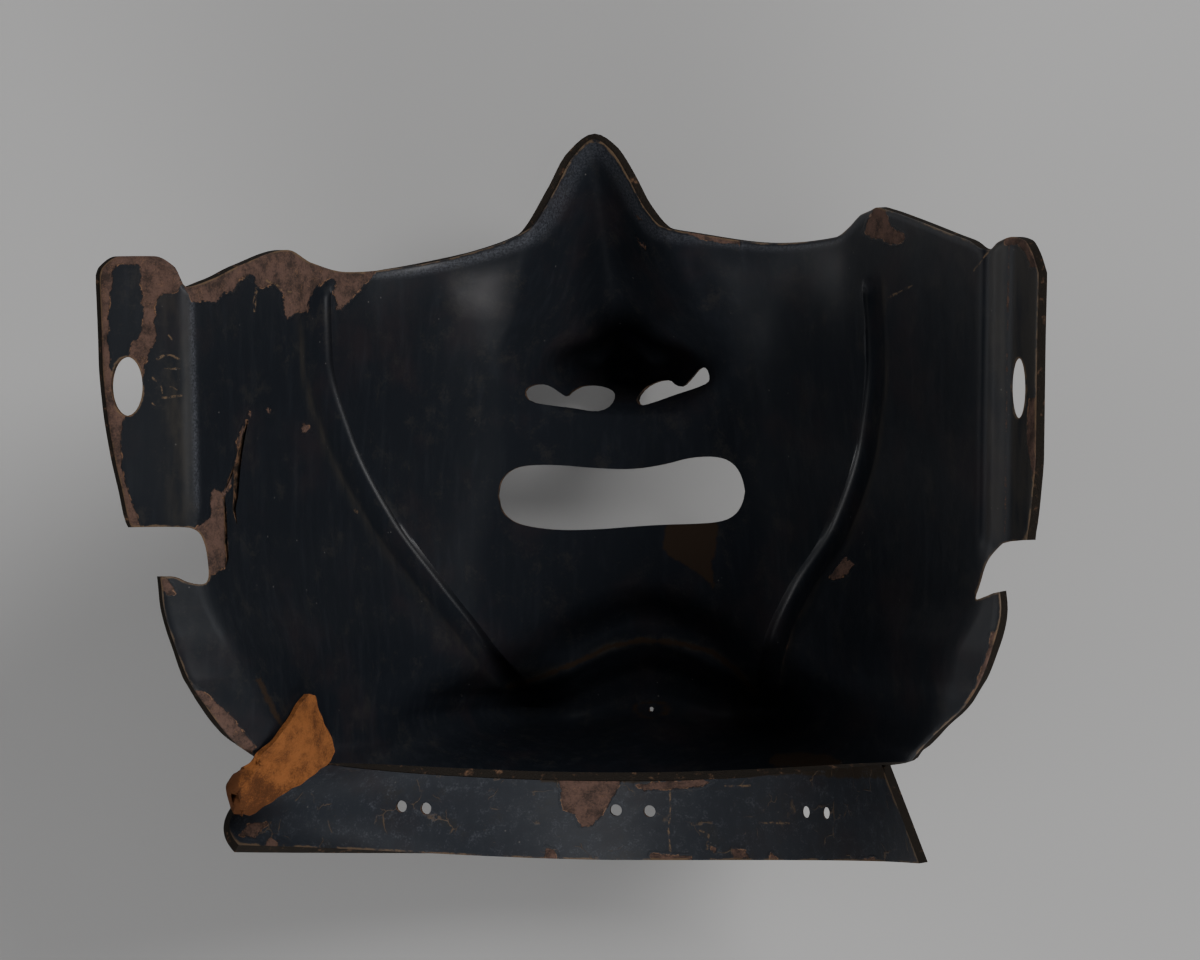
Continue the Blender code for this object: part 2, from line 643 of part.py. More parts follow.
def tab_height(place):
    """Give the height of the wall that the tab lies on, and of the tab where it hangs past the seam."""
    seam = seam_rise(place[:, 0])
    wall = face_height(place[:, 0], np.maximum(place[:, 1], seam))
    return wall - TAB_DROOP * np.maximum(seam - place[:, 1], 0)


def tab_curl(border, inward, share):
    """Give the points of the tab's left border, which rolls up towards the low end."""
    curled = ease((share - CURL_START) / CURL_SPREAD)
    length = TAB_CURL_RADIUS * TAB_CURL_TURN * (FLAT_CURL + (1 - FLAT_CURL) * curled) / TAB_CURL_COLUMNS
    outward = (border - inward) / np.linalg.norm(border - inward)
    upward = np.array([0.0, 0.0, 1.0]) - outward * outward[2]
    upward /= np.linalg.norm(upward)
    points = []
    point = border
    for column in range(TAB_CURL_COLUMNS):
        turn = TAB_CURL_TURN * curled * (column + 0.5) / TAB_CURL_COLUMNS
        point = point + length * (outward * math.cos(turn) + upward * math.sin(turn))
        points.append(point)
    return points[::-1]


def tab_points():
    """Give the sheet that the tab follows, from its tip on the wall to its low end."""
    start = np.array(place_of(TAB_START))
    heading = np.array([math.cos(TAB_HEADING), math.sin(TAB_HEADING)])
    across = np.array([-heading[1], heading[0]])
    along = column_of(TAB_BORDERS, "along")
    rows = []
    for share in np.linspace(0, 1, TAB_ROWS):
        left = read_table(along, column_of(TAB_BORDERS, "left"), [share])
        right = read_table(along, column_of(TAB_BORDERS, "right"), [share])
        reach = left + (right - left) * np.linspace(0, 1, TAB_COLUMNS)
        place = start + heading * TAB_LENGTH * share + reach[:, None] * TAB_WIDTH * across
        row = np.column_stack([place, tab_height(place)])
        rows.append(np.concatenate([tab_curl(row[0], row[1], share), row]))
    return np.array(rows)


def make_leather_tab(sheet):
    """Lay the leather tab over the corner of the jaw."""
    normals = -grid_normals(sheet)
    lower = sheet + normals * TAB_LIFT
    upper = lower + normals * TAB_THICKNESS
    mesh = wall_mesh("leather_tab", lower, upper)
    return add_object("leather_tab", mesh, material("tan_leather", (0.30, 0.13, 0.05), 0.85))


def lowest_points(points):
    """Give the lowest outer points of the nose and of the two corners of the chin."""
    outer = (points - grid_normals(points) * WALL).reshape(-1, 3)
    on_chin = outer[:, 1] < 0.3 * FACE_HEIGHT
    zones = (~on_chin, on_chin & (outer[:, 0] < 0), on_chin & (outer[:, 0] > 0))
    return np.array([outer[zone][np.argmin(outer[zone][:, 2])] for zone in zones])


def find_ground(points):
    """Give the plane that the nose and both corners of the chin stand on, as slopes and a height."""
    ground = np.zeros(3)
    for _ in range(4):
        feet = lowest_points(level(points, ground))
        ground += np.linalg.solve(np.column_stack([feet[:, :2], np.ones(3)]), feet[:, 2])
    return ground


def level(points, ground):
    """Take the ground's plane away from the heights of a grid of points."""
    levelled = points.copy()
    levelled[..., 2] -= points[..., 0] * ground[0] + points[..., 1] * ground[1] + ground[2]
    return levelled


def centre_on_origin(pieces):
    """Move the mask, with its cutters, until the origin lies on the ground under its middle."""
    corners = np.array([vertex.co for piece in pieces for vertex in piece.data.vertices])
    low, high = corners.min(axis=0), corners.max(axis=0)
    for item in bpy.context.scene.objects:
        item.location = (-(low[0] + high[0]) / 2, -(low[1] + high[1]) / 2, -low[2])


def main():
    """Build the mask."""
    for existing in list(bpy.data.objects):
        bpy.data.objects.remove(existing)
    points = shell_points()
    ground = find_ground(points)
    points = level(points, ground)
    sheet = level(tab_points(), ground)
    centre_on_origin([make_shell(points), make_neck_flange(points), make_leather_tab(sheet)])


main()
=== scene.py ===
"""Looks of a samurai face guard that lies on its face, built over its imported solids.

Every piece is shaped in mask coordinates: metres, x across the face, y up from the seam of the neck flange,
z the height of the inner wall. The finished meshes are then set on the ground plane that the solids stand on.
"""

from dataclasses import dataclass
from enum import Enum
import logging
import math
from typing import Sequence

import bpy
import numpy as np
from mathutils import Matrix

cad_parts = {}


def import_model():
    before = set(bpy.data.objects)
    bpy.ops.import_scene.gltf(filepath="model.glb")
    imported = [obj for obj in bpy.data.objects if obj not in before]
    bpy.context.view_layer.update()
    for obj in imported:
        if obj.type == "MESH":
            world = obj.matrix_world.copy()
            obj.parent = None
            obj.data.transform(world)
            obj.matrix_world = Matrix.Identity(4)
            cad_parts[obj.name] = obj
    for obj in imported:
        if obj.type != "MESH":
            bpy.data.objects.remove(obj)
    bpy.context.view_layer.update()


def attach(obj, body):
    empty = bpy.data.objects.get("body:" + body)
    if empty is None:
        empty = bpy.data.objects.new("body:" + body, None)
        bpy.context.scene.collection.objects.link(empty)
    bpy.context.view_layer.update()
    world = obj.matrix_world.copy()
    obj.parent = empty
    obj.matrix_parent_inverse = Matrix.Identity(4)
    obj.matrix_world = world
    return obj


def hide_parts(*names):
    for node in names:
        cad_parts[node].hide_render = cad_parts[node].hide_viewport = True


LOG = logging.getLogger("face_guard")
MM = 0.001
TINY = 1e-12
FAR = 30.0
BELOW_ALL = -0.02
ABOVE_ALL = 0.14
Outline = Sequence[tuple[float, float]]
Pair = tuple[float, float]
Triple = tuple[float, float, float]


class Side(Enum):
    """The two sides of the mask, as the photograph shows them."""

    LEFT = "left"
    RIGHT = "right"


@dataclass(frozen=True)
class MaskSizes:
    """Sizes of the moulded shell, in metres, the same as those of its solids."""

    width: float = 0.152
    height: float = 0.127
    depth: float = 0.1
    wall: float = 0.0018
    side_roll: float = 0.002
    nose_depth: float = 0.0262
    nose_half_width: float = 0.021
    wing_depth: float = 0.005
    wing_radius: float = 0.0095
    wing_spread: float = 0.0135
    corner_depth: float = 0.0055
    corner_radius: float = 0.012
    corner_rise: float = 0.118
    wing_rise: float = 0.655
    wing_undercut: float = 1.25
    under_nose_rise: float = 0.562
    under_nose_fade: float = 0.05
    arch_drop: float = 0.009
    arch_half_width: float = 0.026
    ridge_depth: float = 0.003
    ridge_half_width: float = 0.0025
    ridge_top: tuple[float, float] = (0.775, 0.03)
    ridge_low: tuple[float, float] = (0.105, 0.045)
    notch: tuple[float, float] = (0.325, 0.04)
    ear_width: tuple[float, float] = (0.016, 0.0104)
    ear_angle: tuple[float, float] = (math.radians(28), math.radians(62))
    channel_angle: tuple[float, float] = (math.radians(4), math.radians(20))
    channel_width: float = 0.0051
    channel_reach: float = 0.0009
    jaw_width: float = 0.012
    bend_reach: float = 0.0022
    seam_lift: float = 0.0035
    seam_reach: float = 0.72

    @property
    def half_width(self) -> float:
        """Half of the width between the bends."""
        return self.width / 2


@dataclass(frozen=True)
class Ground:
    """The plane that the nose and the chin stand on, and the shift that centres the mask."""

    slope_x: float = 0.02385191
    slope_y: float = -0.04194961
    height: float = 0.00259125
    shift: tuple[float, float] = (0.00132445, -0.05485101)

    def settle(self, points: np.ndarray) -> np.ndarray:
        """Take points from mask coordinates to their place on the ground.

        Args:
            points: An array whose last axis holds x, y and z in mask coordinates.

        Returns:
            The points in the frame of the solids.
        """
        settled = points.copy()
        settled[..., 2] -= points[..., 0] * self.slope_x + points[..., 1] * self.slope_y + self.height
        settled[..., 0] += self.shift[0]
        settled[..., 1] += self.shift[1]
        return settled


SECTION_RISES = (0.0, 0.063, 0.09, 0.118, 0.15, 0.182, 0.203, 0.235, 0.305, 0.433, 0.567, 0.709, 0.819, 1.0)
SECTIONS = {
    "middle": (0.38, 0.17, 0.082, 0.062, 0.07, 0.106, 0.12, 0.1, 0.165, 0.19, 0.22, 0.33, 0.415, 0.43),
    "lip": (0.39, 0.18, 0.09, 0.064, 0.07, 0.108, 0.134, 0.128, 0.19, 0.22, 0.24, 0.34, 0.41, 0.425),
    "cheek": (0.42, 0.25, 0.16, 0.095, 0.078, 0.13, 0.205, 0.262, 0.3, 0.31, 0.34, 0.38, 0.425, 0.43),
    "ridge": (0.474, 0.37, 0.33, 0.308, 0.3, 0.336, 0.378, 0.42, 0.45, 0.48, 0.5, 0.52, 0.505, 0.505),
    "side": (0.562, 0.54, 0.552, 0.563, 0.58, 0.608, 0.628, 0.66, 0.69, 0.72, 0.735, 0.745, 0.74, 0.74),
    "bend": (0.73, 0.805, 0.84, 0.866, 0.89, 0.913, 0.929, 0.955, 0.985, 1.012, 1.008, 1.004, 1.001, 0.995),
}
GUIDE_RISES = (0.0, 0.024, 0.102, 0.205, 0.285, 0.39, 0.524, 0.65, 0.8, 1.0)
GUIDES = {
    "left_bend": (-0.69, -0.73, -0.8, -0.874, -0.934, -0.97, -0.975, -0.98, -0.986, -0.994),
    "left_ridge": (-0.26, -0.265, -0.285, -0.375, -0.47, -0.585, -0.68, -0.725, -0.73, -0.725),
    "middle": (0.06, 0.06, 0.06, 0.06, 0.05, 0.03, 0.01, 0.0, -0.02, -0.045),
    "right_ridge": (0.36, 0.365, 0.38, 0.425, 0.49, 0.61, 0.69, 0.713, 0.7, 0.69),
    "right_bend": (0.76, 0.79, 0.88, 0.925, 0.985, 1.005, 1.008, 1.011, 1.015, 1.02),
}
JAW_RISES = (0.0, 0.04, 0.11, 0.205, 0.315, 0.38)
JAW_REACHES = {"left": (1.0, 1.0, 0.98, 0.9, 0.68, 0.6), "right": (0.34, 0.42, 0.54, 0.66, 0.36, 0.3)}
JAW_SLOPES = {"left": (1.1, 1.1, 0.83, 0.5, 0.42, 0.4), "right": (1.1, 1.1, 1.0, 0.95, 0.9, 0.9)}
EAR_RISES = (0.38, 0.4, 0.44, 0.5, 0.57, 0.64, 0.8)
EAR_REACHES = {"left": (0.7, 0.76, 0.81, 0.9, 0.97, 1.0, 1.0), "right": (0.86, 0.9, 0.95, 1.0, 1.0, 1.0, 1.0)}
RIM_SIDES = (-1.205, -1.19, -1.15, -1.07, -1.02, -0.992, -0.94, -0.887, -0.787, -0.74, -0.671, -0.549,
             -0.343, -0.215, -0.15, -0.105, -0.045, 0.0, 0.043, 0.09, 0.14, 0.21, 0.45, 0.6, 0.641,
             0.67, 0.7, 0.716, 0.743, 0.816, 0.875, 0.932, 0.975, 1.004, 1.024, 1.047, 1.082, 1.114, 1.136,
             1.152)
RIM_RISES = (0.745, 0.78, 0.797, 0.798, 0.782, 0.752, 0.765, 0.787, 0.815, 0.797, 0.785, 0.794,
             0.823, 0.856, 0.916, 0.968, 0.998, 0.98, 0.94, 0.888, 0.858, 0.849, 0.831, 0.838, 0.854,
             0.87, 0.876, 0.8795, 0.875, 0.858, 0.843, 0.828, 0.817, 0.805, 0.803, 0.814, 0.821, 0.815, 0.794,
             0.765)
NOSE_RISES = (0.545, 0.566, 0.582, 0.606, 0.63, 0.645, 0.7, 0.76, 0.819, 0.9, 1.0)
NOSE = {
    "depth": (0.0, 0.03, 0.18, 0.62, 0.97, 1.0, 0.94, 0.87, 0.78, 0.5, 0.19),
    "half": (0.92, 0.93, 0.95, 0.98, 1.0, 1.0, 0.95, 0.86, 0.76, 0.62, 0.45),
    "line": (-0.01, -0.01, -0.01, -0.008, -0.005, -0.005, -0.01, -0.02, -0.032, -0.04, -0.045),
}
LEVELS = (0.0, 0.02, 0.043, 0.067, 0.09, 0.112, 0.133, 0.15, 0.165, 0.18, 0.192, 0.204, 0.218, 0.235,
          0.262, 0.3, 0.34, 0.385, 0.43, 0.475, 0.52, 0.548, 0.562, 0.575, 0.588, 0.602, 0.616, 0.63,
          0.645, 0.67)
TOP_LEVEL = 0.8
MOUTH_SIDES = (-0.5, -0.49, -0.455, -0.4, -0.28, -0.12, 0.02, 0.15, 0.28, 0.4, 0.46, 0.49, 0.5)
MOUTH_UPPER = (0.0, 0.2, 0.34, 0.41, 0.42, 0.37, 0.35, 0.41, 0.53, 0.53, 0.42, 0.24, 0.06)
MOUTH_LOWER = (-0.02, -0.22, -0.36, -0.44, -0.5, -0.49, -0.45, -0.42, -0.41, -0.38, -0.28, -0.12, 0.04)
NOSTRILS = {
    Side.LEFT: ((-0.48, 0.11), (-0.44, 0.32), (-0.32, 0.44), (-0.2, 0.36), (-0.07, 0.11), (-0.01, 0.01),
                (0.04, 0.22), (0.15, 0.41), (0.33, 0.4), (0.48, 0.28), (0.56, 0.06), (0.55, -0.26),
                (0.44, -0.46), (0.28, -0.46), (0.09, -0.36), (-0.18, -0.28), (-0.42, -0.17)),
    Side.RIGHT: ((-0.45, -0.28), (-0.38, 0.09), (-0.22, 0.3), (-0.04, 0.34), (0.06, 0.13), (0.16, 0.09),
                 (0.28, 0.43), (0.39, 0.72), (0.49, 0.68), (0.53, 0.36), (0.51, 0.2), (0.35, 0.04),
                 (0.08, -0.16), (-0.24, -0.46), (-0.38, -0.54)),
}
NOTCHES = (
    ((-1.3, 0.388), (-1.0, 0.392), (-0.965, 0.386), (-0.952, 0.368), (-0.944, 0.34), (-0.94, 0.312),
     (-0.951, 0.303), (-0.988, 0.306), (-1.022, 0.3165), (-1.047, 0.3165), (-1.3, 0.3165)),
    ((1.3, 0.373), (1.07, 0.374), (1.037, 0.356), (1.014, 0.337), (0.999, 0.305), (0.984, 0.282),
     (1.004, 0.286), (1.051, 0.298), (1.3, 0.315)),
)
WING_POCKETS = ((-0.014, 0.0845, 0.008, 0.0014), (0.015, 0.0835, 0.0085, 0.0012))
# rim band of dust with a painted highlight in it: places across, reaches and amounts
DUST_AND_SHEEN_SIDES = (-76.0, -50.0, -44.0, -20.0, -11.0, -4.0, 4.0, 10.0, 20.0, 44.0, 76.0)
DUST_AND_SHEEN_REACHES = (1.2, 1.4, 1.8, 2.6, 3.4, 3.4, 3.2, 3.0, 2.0, 1.5, 1.2)
DUST_AND_SHEEN_AMOUNTS = (0.2, 0.3, 0.75, 0.95, 0.62, 0.5, 0.55, 0.55, 0.5, 0.55, 0.3)
MATT_RISES = (0.0, 12.0, 25.0, 45.0, 62.0, 80.0, 95.0, 110.0, 124.0)
MATT_REACHES = (26.0, 27.0, 27.0, 26.0, 22.0, 21.0, 19.0, 10.0, 4.0)
NARROW_RIDGE = ((0.2, 0.35, 0.6, 0.8), (1.05, 1.0, 0.88, 0.8))


def read_table(knots: Sequence[float], values: np.ndarray, at: np.ndarray) -> np.ndarray:
    """Read a smooth curve that passes through values at knots and never swings past them.

    Args:
        knots: Rising places.
        values: One value a knot, or a row of values a knot with one column for each place read.
        at: The places to read.

    Returns:
        The values there, in the shape of at.
    """
    knots = np.asarray(knots, dtype=float)
    values = np.asarray(values, dtype=float)
    place = np.clip(np.asarray(at, dtype=float), knots[0], knots[-1])
    flat = place.ravel()
    if values.ndim == 1:
        values = np.broadcast_to(values[:, None], (values.size, flat.size))
    steps = np.diff(knots)
    slopes = np.diff(values, axis=0) / steps[:, None]
    product = slopes[:-1] * slopes[1:]
    total = slopes[:-1] + slopes[1:]
    inner = np.where(product > 0, 2 * product / np.where(total == 0, 1, total), 0)
    tangents = np.vstack([slopes[:1], inner, slopes[-1:]])
    row = np.clip(np.searchsorted(knots, flat, side="right") - 1, 0, len(steps) - 1)
    column = np.arange(flat.size)
    width = steps[row]
    t = (flat - knots[row]) / width
    read = values[row, column] * (1 + 2 * t) * (1 - t) ** 2 + values[row + 1, column] * t * t * (3 - 2 * t)
    read = read + tangents[row, column] * width * t * (1 - t) ** 2
    read = read - tangents[row + 1, column] * width * t * t * (1 - t)
    return read.reshape(place.shape)


def ease(amount: np.ndarray) -> np.ndarray:
    """Turn a share from 0 to 1 into a share with soft ends."""
    share = np.clip(amount, 0, 1)
    return share * share * (3 - 2 * share)


def ramp(value: np.ndarray, start: float, reach: float) -> np.ndarray:
    """Rise softly from 0 at a start to 1 a reach further on, or fall back where the reach is below zero."""
    return ease((value - start) / reach)


def bell(value: np.ndarray, middle: float, width: float) -> np.ndarray:
    """Rise to 1 in the middle of a bell curve."""
    return np.exp(-((value - middle) / width) ** 2)


def grid_normals(points: np.ndarray) -> np.ndarray:
    """Give the unit normals of a grid of points, facing up."""
    normals = np.cross(np.gradient(points, axis=1), np.gradient(points, axis=0))
    return normals / np.linalg.norm(normals, axis=-1, keepdims=True)


def outline_distance(x: np.ndarray, y: np.ndarray, outline: Outline) -> np.ndarray:
    """Give the distance to a closed outline, below zero inside it.

    Args:
        x: Places across.
        y: Places up.
        outline: The outline's corners, in the same unit.

    Returns:
        The signed distance of each place.
    """
    closed = tuple(outline) + (outline[0],)
    nearest = line_distance(x, y, closed)
    inside = np.zeros(x.shape, dtype=bool)
    for (ax, ay), (bx, by) in zip(closed[:-1], closed[1:]):
        crosses = (ay > y) != (by > y)
        at = ax + (y - ay) * (bx - ax) / (by - ay if by != ay else TINY)
        inside ^= crosses & (x < at)
    return np.where(inside, -nearest, nearest)


def nearest_outline(x: np.ndarray, y: np.ndarray, outlines: Sequence[Outline]) -> np.ndarray:
    """Give the signed distance to the nearest of several outlines, at most FAR."""
    nearest = np.full(x.shape, FAR)
    for outline in outlines:
        nearest = np.minimum(nearest, outline_distance(x, y, outline))
    return nearest


def line_distance(x: np.ndarray, y: np.ndarray, line: Outline) -> np.ndarray:
    """Give the distance to an open line of straight runs."""
    nearest = np.full(x.shape, np.inf)
    for (ax, ay), (bx, by) in zip(line[:-1], line[1:]):
        run = max((bx - ax) ** 2 + (by - ay) ** 2, TINY)
        share = np.clip(((x - ax) * (bx - ax) + (y - ay) * (by - ay)) / run, 0, 1)
        nearest = np.minimum(nearest, np.hypot(x - ax - share * (bx - ax), y - ay - share * (by - ay)))
    return nearest


class FaceForm:
    """The moulded form of the inner wall, read from the same tables as the solids."""

    stations = (-0.2, 0.0, 0.2, 0.4, 0.6, 0.8, 1.0)
    station_names = ("lip", "middle", "lip", "cheek", "ridge", "side", "bend")
    station_step = 0.2
    arch_low_fade = 0.11
    arch_top = (0.42, 0.17)
    slope_step = 0.004
    ridge_softness = 0.07
    ridge_share = 0.92
    wing_softness = 0.05
    wing_pocket_low = (0.585, 0.03)
    ear_low = (0.34, 0.04)
    right_seam = (-0.00055, 0.0006, 0.0011)
    right_bead = (0.0005, 0.0046, 0.0013)
    left_bead = (0.00022, 0.0004, 0.00055)
    crack_lip = (0.0003, 1.1)

    def __init__(self, sizes: MaskSizes) -> None:
        """Keep the sizes.

        Args:
            sizes: The shell's sizes.
        """
        self.sizes = sizes

    def guide(self, name: str, rise: np.ndarray) -> np.ndarray:
        """Give a guide's place across the face."""
        return read_table(GUIDE_RISES, GUIDES[name], rise) * self.sizes.half_width

    def seam(self, x: np.ndarray) -> np.ndarray:
        """Give how far the seam of the neck flange rises towards the ears."""
        return self.sizes.seam_lift * (x / (self.sizes.seam_reach * self.sizes.half_width)) ** 2

    def rim(self, x: np.ndarray) -> np.ndarray:
        """Give the height up the face of the top rim."""
        return read_table(RIM_SIDES, RIM_RISES, x / self.sizes.half_width) * self.sizes.height

    def flange_width(self, side: Side, rise: np.ndarray) -> np.ndarray:
        """Give how far the wall reaches past its bend."""
        ear = read_table(EAR_RISES, EAR_REACHES[side.value], rise) * self.sizes.ear_width[side is Side.RIGHT]
        jaw = read_table(JAW_RISES, JAW_REACHES[side.value], rise) * self.sizes.jaw_width
        return jaw + (ear - jaw) * self.past_notch(rise)

    def flange_slope(self, side: Side, rise: np.ndarray, angles: tuple[float, float]) -> np.ndarray:
        """Give how steeply the wall rises past its bend."""
        jaw = read_table(JAW_RISES, JAW_SLOPES[side.value], rise)
        return jaw + (math.tan(angles[side is Side.RIGHT]) - jaw) * self.past_notch(rise)

    @staticmethod
    def rounded(past: np.ndarray, reach: float) -> np.ndarray:
        """Give how far a place lies past a bend, rounded off over a reach to both sides of it."""
        turn = np.clip((past + reach) / (2 * reach), 0, 1)
        return np.where(past > reach, past, reach * turn * turn)

    def past_notch(self, rise: np.ndarray) -> np.ndarray:
        """Give 0 on the jaw flange and 1 on the ear flange, changing over inside the notch between them."""
        return ramp(rise, *self.sizes.notch)

    def ridge_away(self, x: np.ndarray, rise: np.ndarray, name: str) -> np.ndarray:
        """Give the distance from the line of a cord ridge, in metres, above zero towards the right."""
        step = self.slope_step
        run = (self.guide(name, rise + step) - self.guide(name, rise - step)) / (2 * step * self.sizes.height)
        return (x - self.guide(name, rise)) / np.sqrt(1 + run * run)

    def ridge_fade(self, rise: np.ndarray) -> np.ndarray:
        """Give 1 along a cord ridge, fading out at both of its ends."""
        top, fade = self.sizes.ridge_top
        return ramp(rise, top, -fade) * ramp(rise, *self.sizes.ridge_low)

    def ridge_depth(self, x: np.ndarray, rise: np.ndarray, name: str) -> np.ndarray:
        """Give how deep a cord ridge is pressed into the inner wall."""
        away = np.abs(self.ridge_away(x, rise, name)) / self.sizes.ridge_half_width
        return self.sizes.ridge_depth * (1 - ease(away)) * self.ridge_fade(rise)

    def corner_depth(self, x: np.ndarray, rise: np.ndarray) -> np.ndarray:
        """Give how deep the two corners of the chin are pressed."""
        sizes, depth = self.sizes, 0
        for name in ("left_ridge", "right_ridge"):
            corner = self.guide(name, np.array([sizes.corner_rise]))
            away = np.hypot(x - corner, (rise - sizes.corner_rise) * sizes.height) / sizes.corner_radius
            depth = depth + sizes.corner_depth * (1 - ease(away))
        return depth

    def nose_depth(self, x: np.ndarray, rise: np.ndarray) -> np.ndarray:
        """Give how deep the nose is pressed into the wall, with its two wings."""
        sizes = self.sizes
        line = self.nose_line(rise)
        half = read_table(NOSE_RISES, NOSE["half"], rise) * sizes.nose_half_width
        share = 1 - ease(np.abs(x - line) / half)
        depth = sizes.nose_depth * read_table(NOSE_RISES, NOSE["depth"], rise) * share
        wings = 0
        for side in (-1, 1):
            across = (x - line - side * sizes.wing_spread) / sizes.wing_radius
            along = (rise - sizes.wing_rise) * sizes.height / sizes.wing_radius
            along = np.where(along < 0, along * sizes.wing_undercut, along)
            wings = wings + sizes.wing_depth * (1 - ease(np.hypot(across, along)))
        return depth + wings * ramp(rise, sizes.under_nose_rise, sizes.under_nose_fade)

    def nose_line(self, rise: np.ndarray) -> np.ndarray:
        """Give the place across the face of the nose's ridge."""
        return read_table(NOSE_RISES, NOSE["line"], rise) * self.sizes.half_width

    def height(self, x: np.ndarray, y: np.ndarray) -> np.ndarray:
        """Give the height of the inner wall over any place of the face."""
        sizes = self.sizes
        rise = y / sizes.height
        middle = self.guide("middle", rise)
        bends = {Side.LEFT: self.guide("left_bend", rise), Side.RIGHT: self.guide("right_bend", rise)}
        left = x < middle
        bend = np.where(left, bends[Side.LEFT], bends[Side.RIGHT])
        share = np.abs(x - middle) / np.abs(bend - middle)
        top, fade = self.arch_top
        arch = ease(np.abs(x - middle) / sizes.arch_half_width)
        arch = arch * ease(rise / self.arch_low_fade) * ramp(rise, top, -fade)
        arched = rise + arch * sizes.arch_drop / sizes.height
        heights = np.array([read_table(SECTION_RISES, SECTIONS[name], arched).ravel()
                            for name in self.station_names])
        wall = read_table(self.stations, heights * sizes.depth, np.minimum(share, 1).ravel())
        wall = wall.reshape(share.shape)
        wall = wall + sizes.side_roll * x / sizes.half_width
        wall = wall - self.ridge_depth(x, rise, "left_ridge") - self.ridge_depth(x, rise, "right_ridge")
        wall = wall - self.corner_depth(x, rise) - self.nose_depth(x, rise)
        past = np.abs(x - middle) - np.abs(bend - middle)
        rises = [read_table(SECTION_RISES, SECTIONS[name], rise) for name in ("bend", "side")]
        inner = sizes.depth * (rises[0] - rises[1]) / (np.abs(bend - middle) * self.station_step)
        slopes = [np.where(left, self.flange_slope(Side.LEFT, rise, angles),
                           self.flange_slope(Side.RIGHT, rise, angles))
                  for angles in (sizes.channel_angle, sizes.ear_angle)]
        wall = wall + inner * np.maximum(past, 0) + (slopes[0] - inner) * self.rounded(past, sizes.bend_reach)
        return wall + (slopes[1] - slopes[0]) * self.rounded(past - sizes.channel_width, sizes.channel_reach)

    def relief(self, x: np.ndarray, y: np.ndarray) -> np.ndarray:
        """Give the fine relief that only the inner face has, in metres.

        Args:
            x: Places across, in mask coordinates.
            y: Places up.

        Returns:
            What is added to the height of the inner face: crisp shoulders on the cord ridges and on the
            hollows of the nostrils, a beaded bend on the right ear flange and lips beside the cracks.
        """
        sizes = self.sizes
        rise = y / sizes.height
        fade = self.ridge_fade(rise)
        added = np.zeros(x.shape)
        for name in ("left_ridge", "right_ridge"):
            away = np.abs(self.ridge_away(x, rise, name)) / sizes.ridge_half_width
            narrow = read_table(*NARROW_RIDGE, rise) if name == "right_ridge" else 1.0
            groove = self.ridge_share * self.pocket(away / narrow, self.ridge_softness)
            added += sizes.ridge_depth * fade * ((1 - ease(away)) - groove)
        line = self.nose_line(rise)
        for centre_x, centre_y, radius, depth in WING_POCKETS:
            away = np.hypot(x - line - centre_x, y - centre_y) / radius
            added -= depth * self.pocket(away, self.wing_softness) * ramp(rise, *self.wing_pocket_low)
        on_ear = ramp(rise, *self.ear_low)
        for name, (swell, middle, width) in (("right_bend", self.right_seam), ("right_bend", self.right_bead),
                                             ("left_bend", self.left_bead)):
            added += swell * bell(x - self.guide(name, rise), middle, width) * on_ear
        lip_height, lip_width = self.crack_lip
        for line, _ in CRACKS:
            added += lip_height * bell(line_distance(x / MM, y / MM, line), 0.0, lip_width)
        return added

    @staticmethod
    def pocket(away: np.ndarray, softness: float) -> np.ndarray:
        """Give a hollow of round section with crisp shoulders: 1 in its middle and 0 past its border."""
        left = 1 - away * away
        return (np.sqrt(left * left + softness * softness) + left) / 2


class Socket:
    """One value inside a material, which plain arithmetic works on."""

    def __init__(self, graph: "Graph", output: bpy.types.NodeSocket) -> None:
        """Wrap a node's output."""
        self.graph = graph
        self.output = output

    def math(self, operation: str, *others: "Socket | float", clamp: bool = False) -> "Socket":
        """Apply one of the scalar operations."""
        return self.graph.node("ShaderNodeMath", (self, *others), operation=operation, use_clamp=clamp)

    def __add__(self, other: "Socket | float") -> "Socket":
        return self.math("ADD", other)

    __radd__ = __add__

    def __sub__(self, other: "Socket | float") -> "Socket":
        return self.math("SUBTRACT", other)

    def __rsub__(self, other: float) -> "Socket":
        return (self * -1.0) + other

    def __mul__(self, other: "Socket | float") -> "Socket":
        return self.math("MULTIPLY", other)

    __rmul__ = __mul__

    def __abs__(self) -> "Socket":
        return self.math("ABSOLUTE")

    def times_plus(self, factor: "Socket | float", more: "Socket", clamp: bool = False) -> "Socket":
        """Multiply by a factor and add another value, in one node."""
        return self.math("MULTIPLY_ADD", factor, more, clamp=clamp)

    def clamped(self) -> "Socket":
        """Keep a value between 0 and 1."""
        return self.math("ADD", 0.0, clamp=True)

    def least(self, other: "Socket | float") -> "Socket":
        """The smaller of two values."""
        return self.math("MINIMUM", other)

    def most(self, other: "Socket | float") -> "Socket":
        """The larger of two values."""
        return self.math("MAXIMUM", other)

    def step(self, low: float, high: float) -> "Socket":
        """Rise softly from 0 to 1 between two values."""
        return self.graph.node("ShaderNodeMapRange", {"Value": self, "From Min": low, "From Max": high},
                               interpolation_type="SMOOTHSTEP")

    def stretched(self, x: float, y: float, z: float) -> "Socket":
        """Multiply a place by three scales."""
        return self.graph.node("ShaderNodeVectorMath", (self, (x, y, z)), operation="MULTIPLY")

    def moved(self, other: "Socket | Triple") -> "Socket":
        """Add a place or a shift to a place."""
        return self.graph.node("ShaderNodeVectorMath", (self, other), operation="ADD")


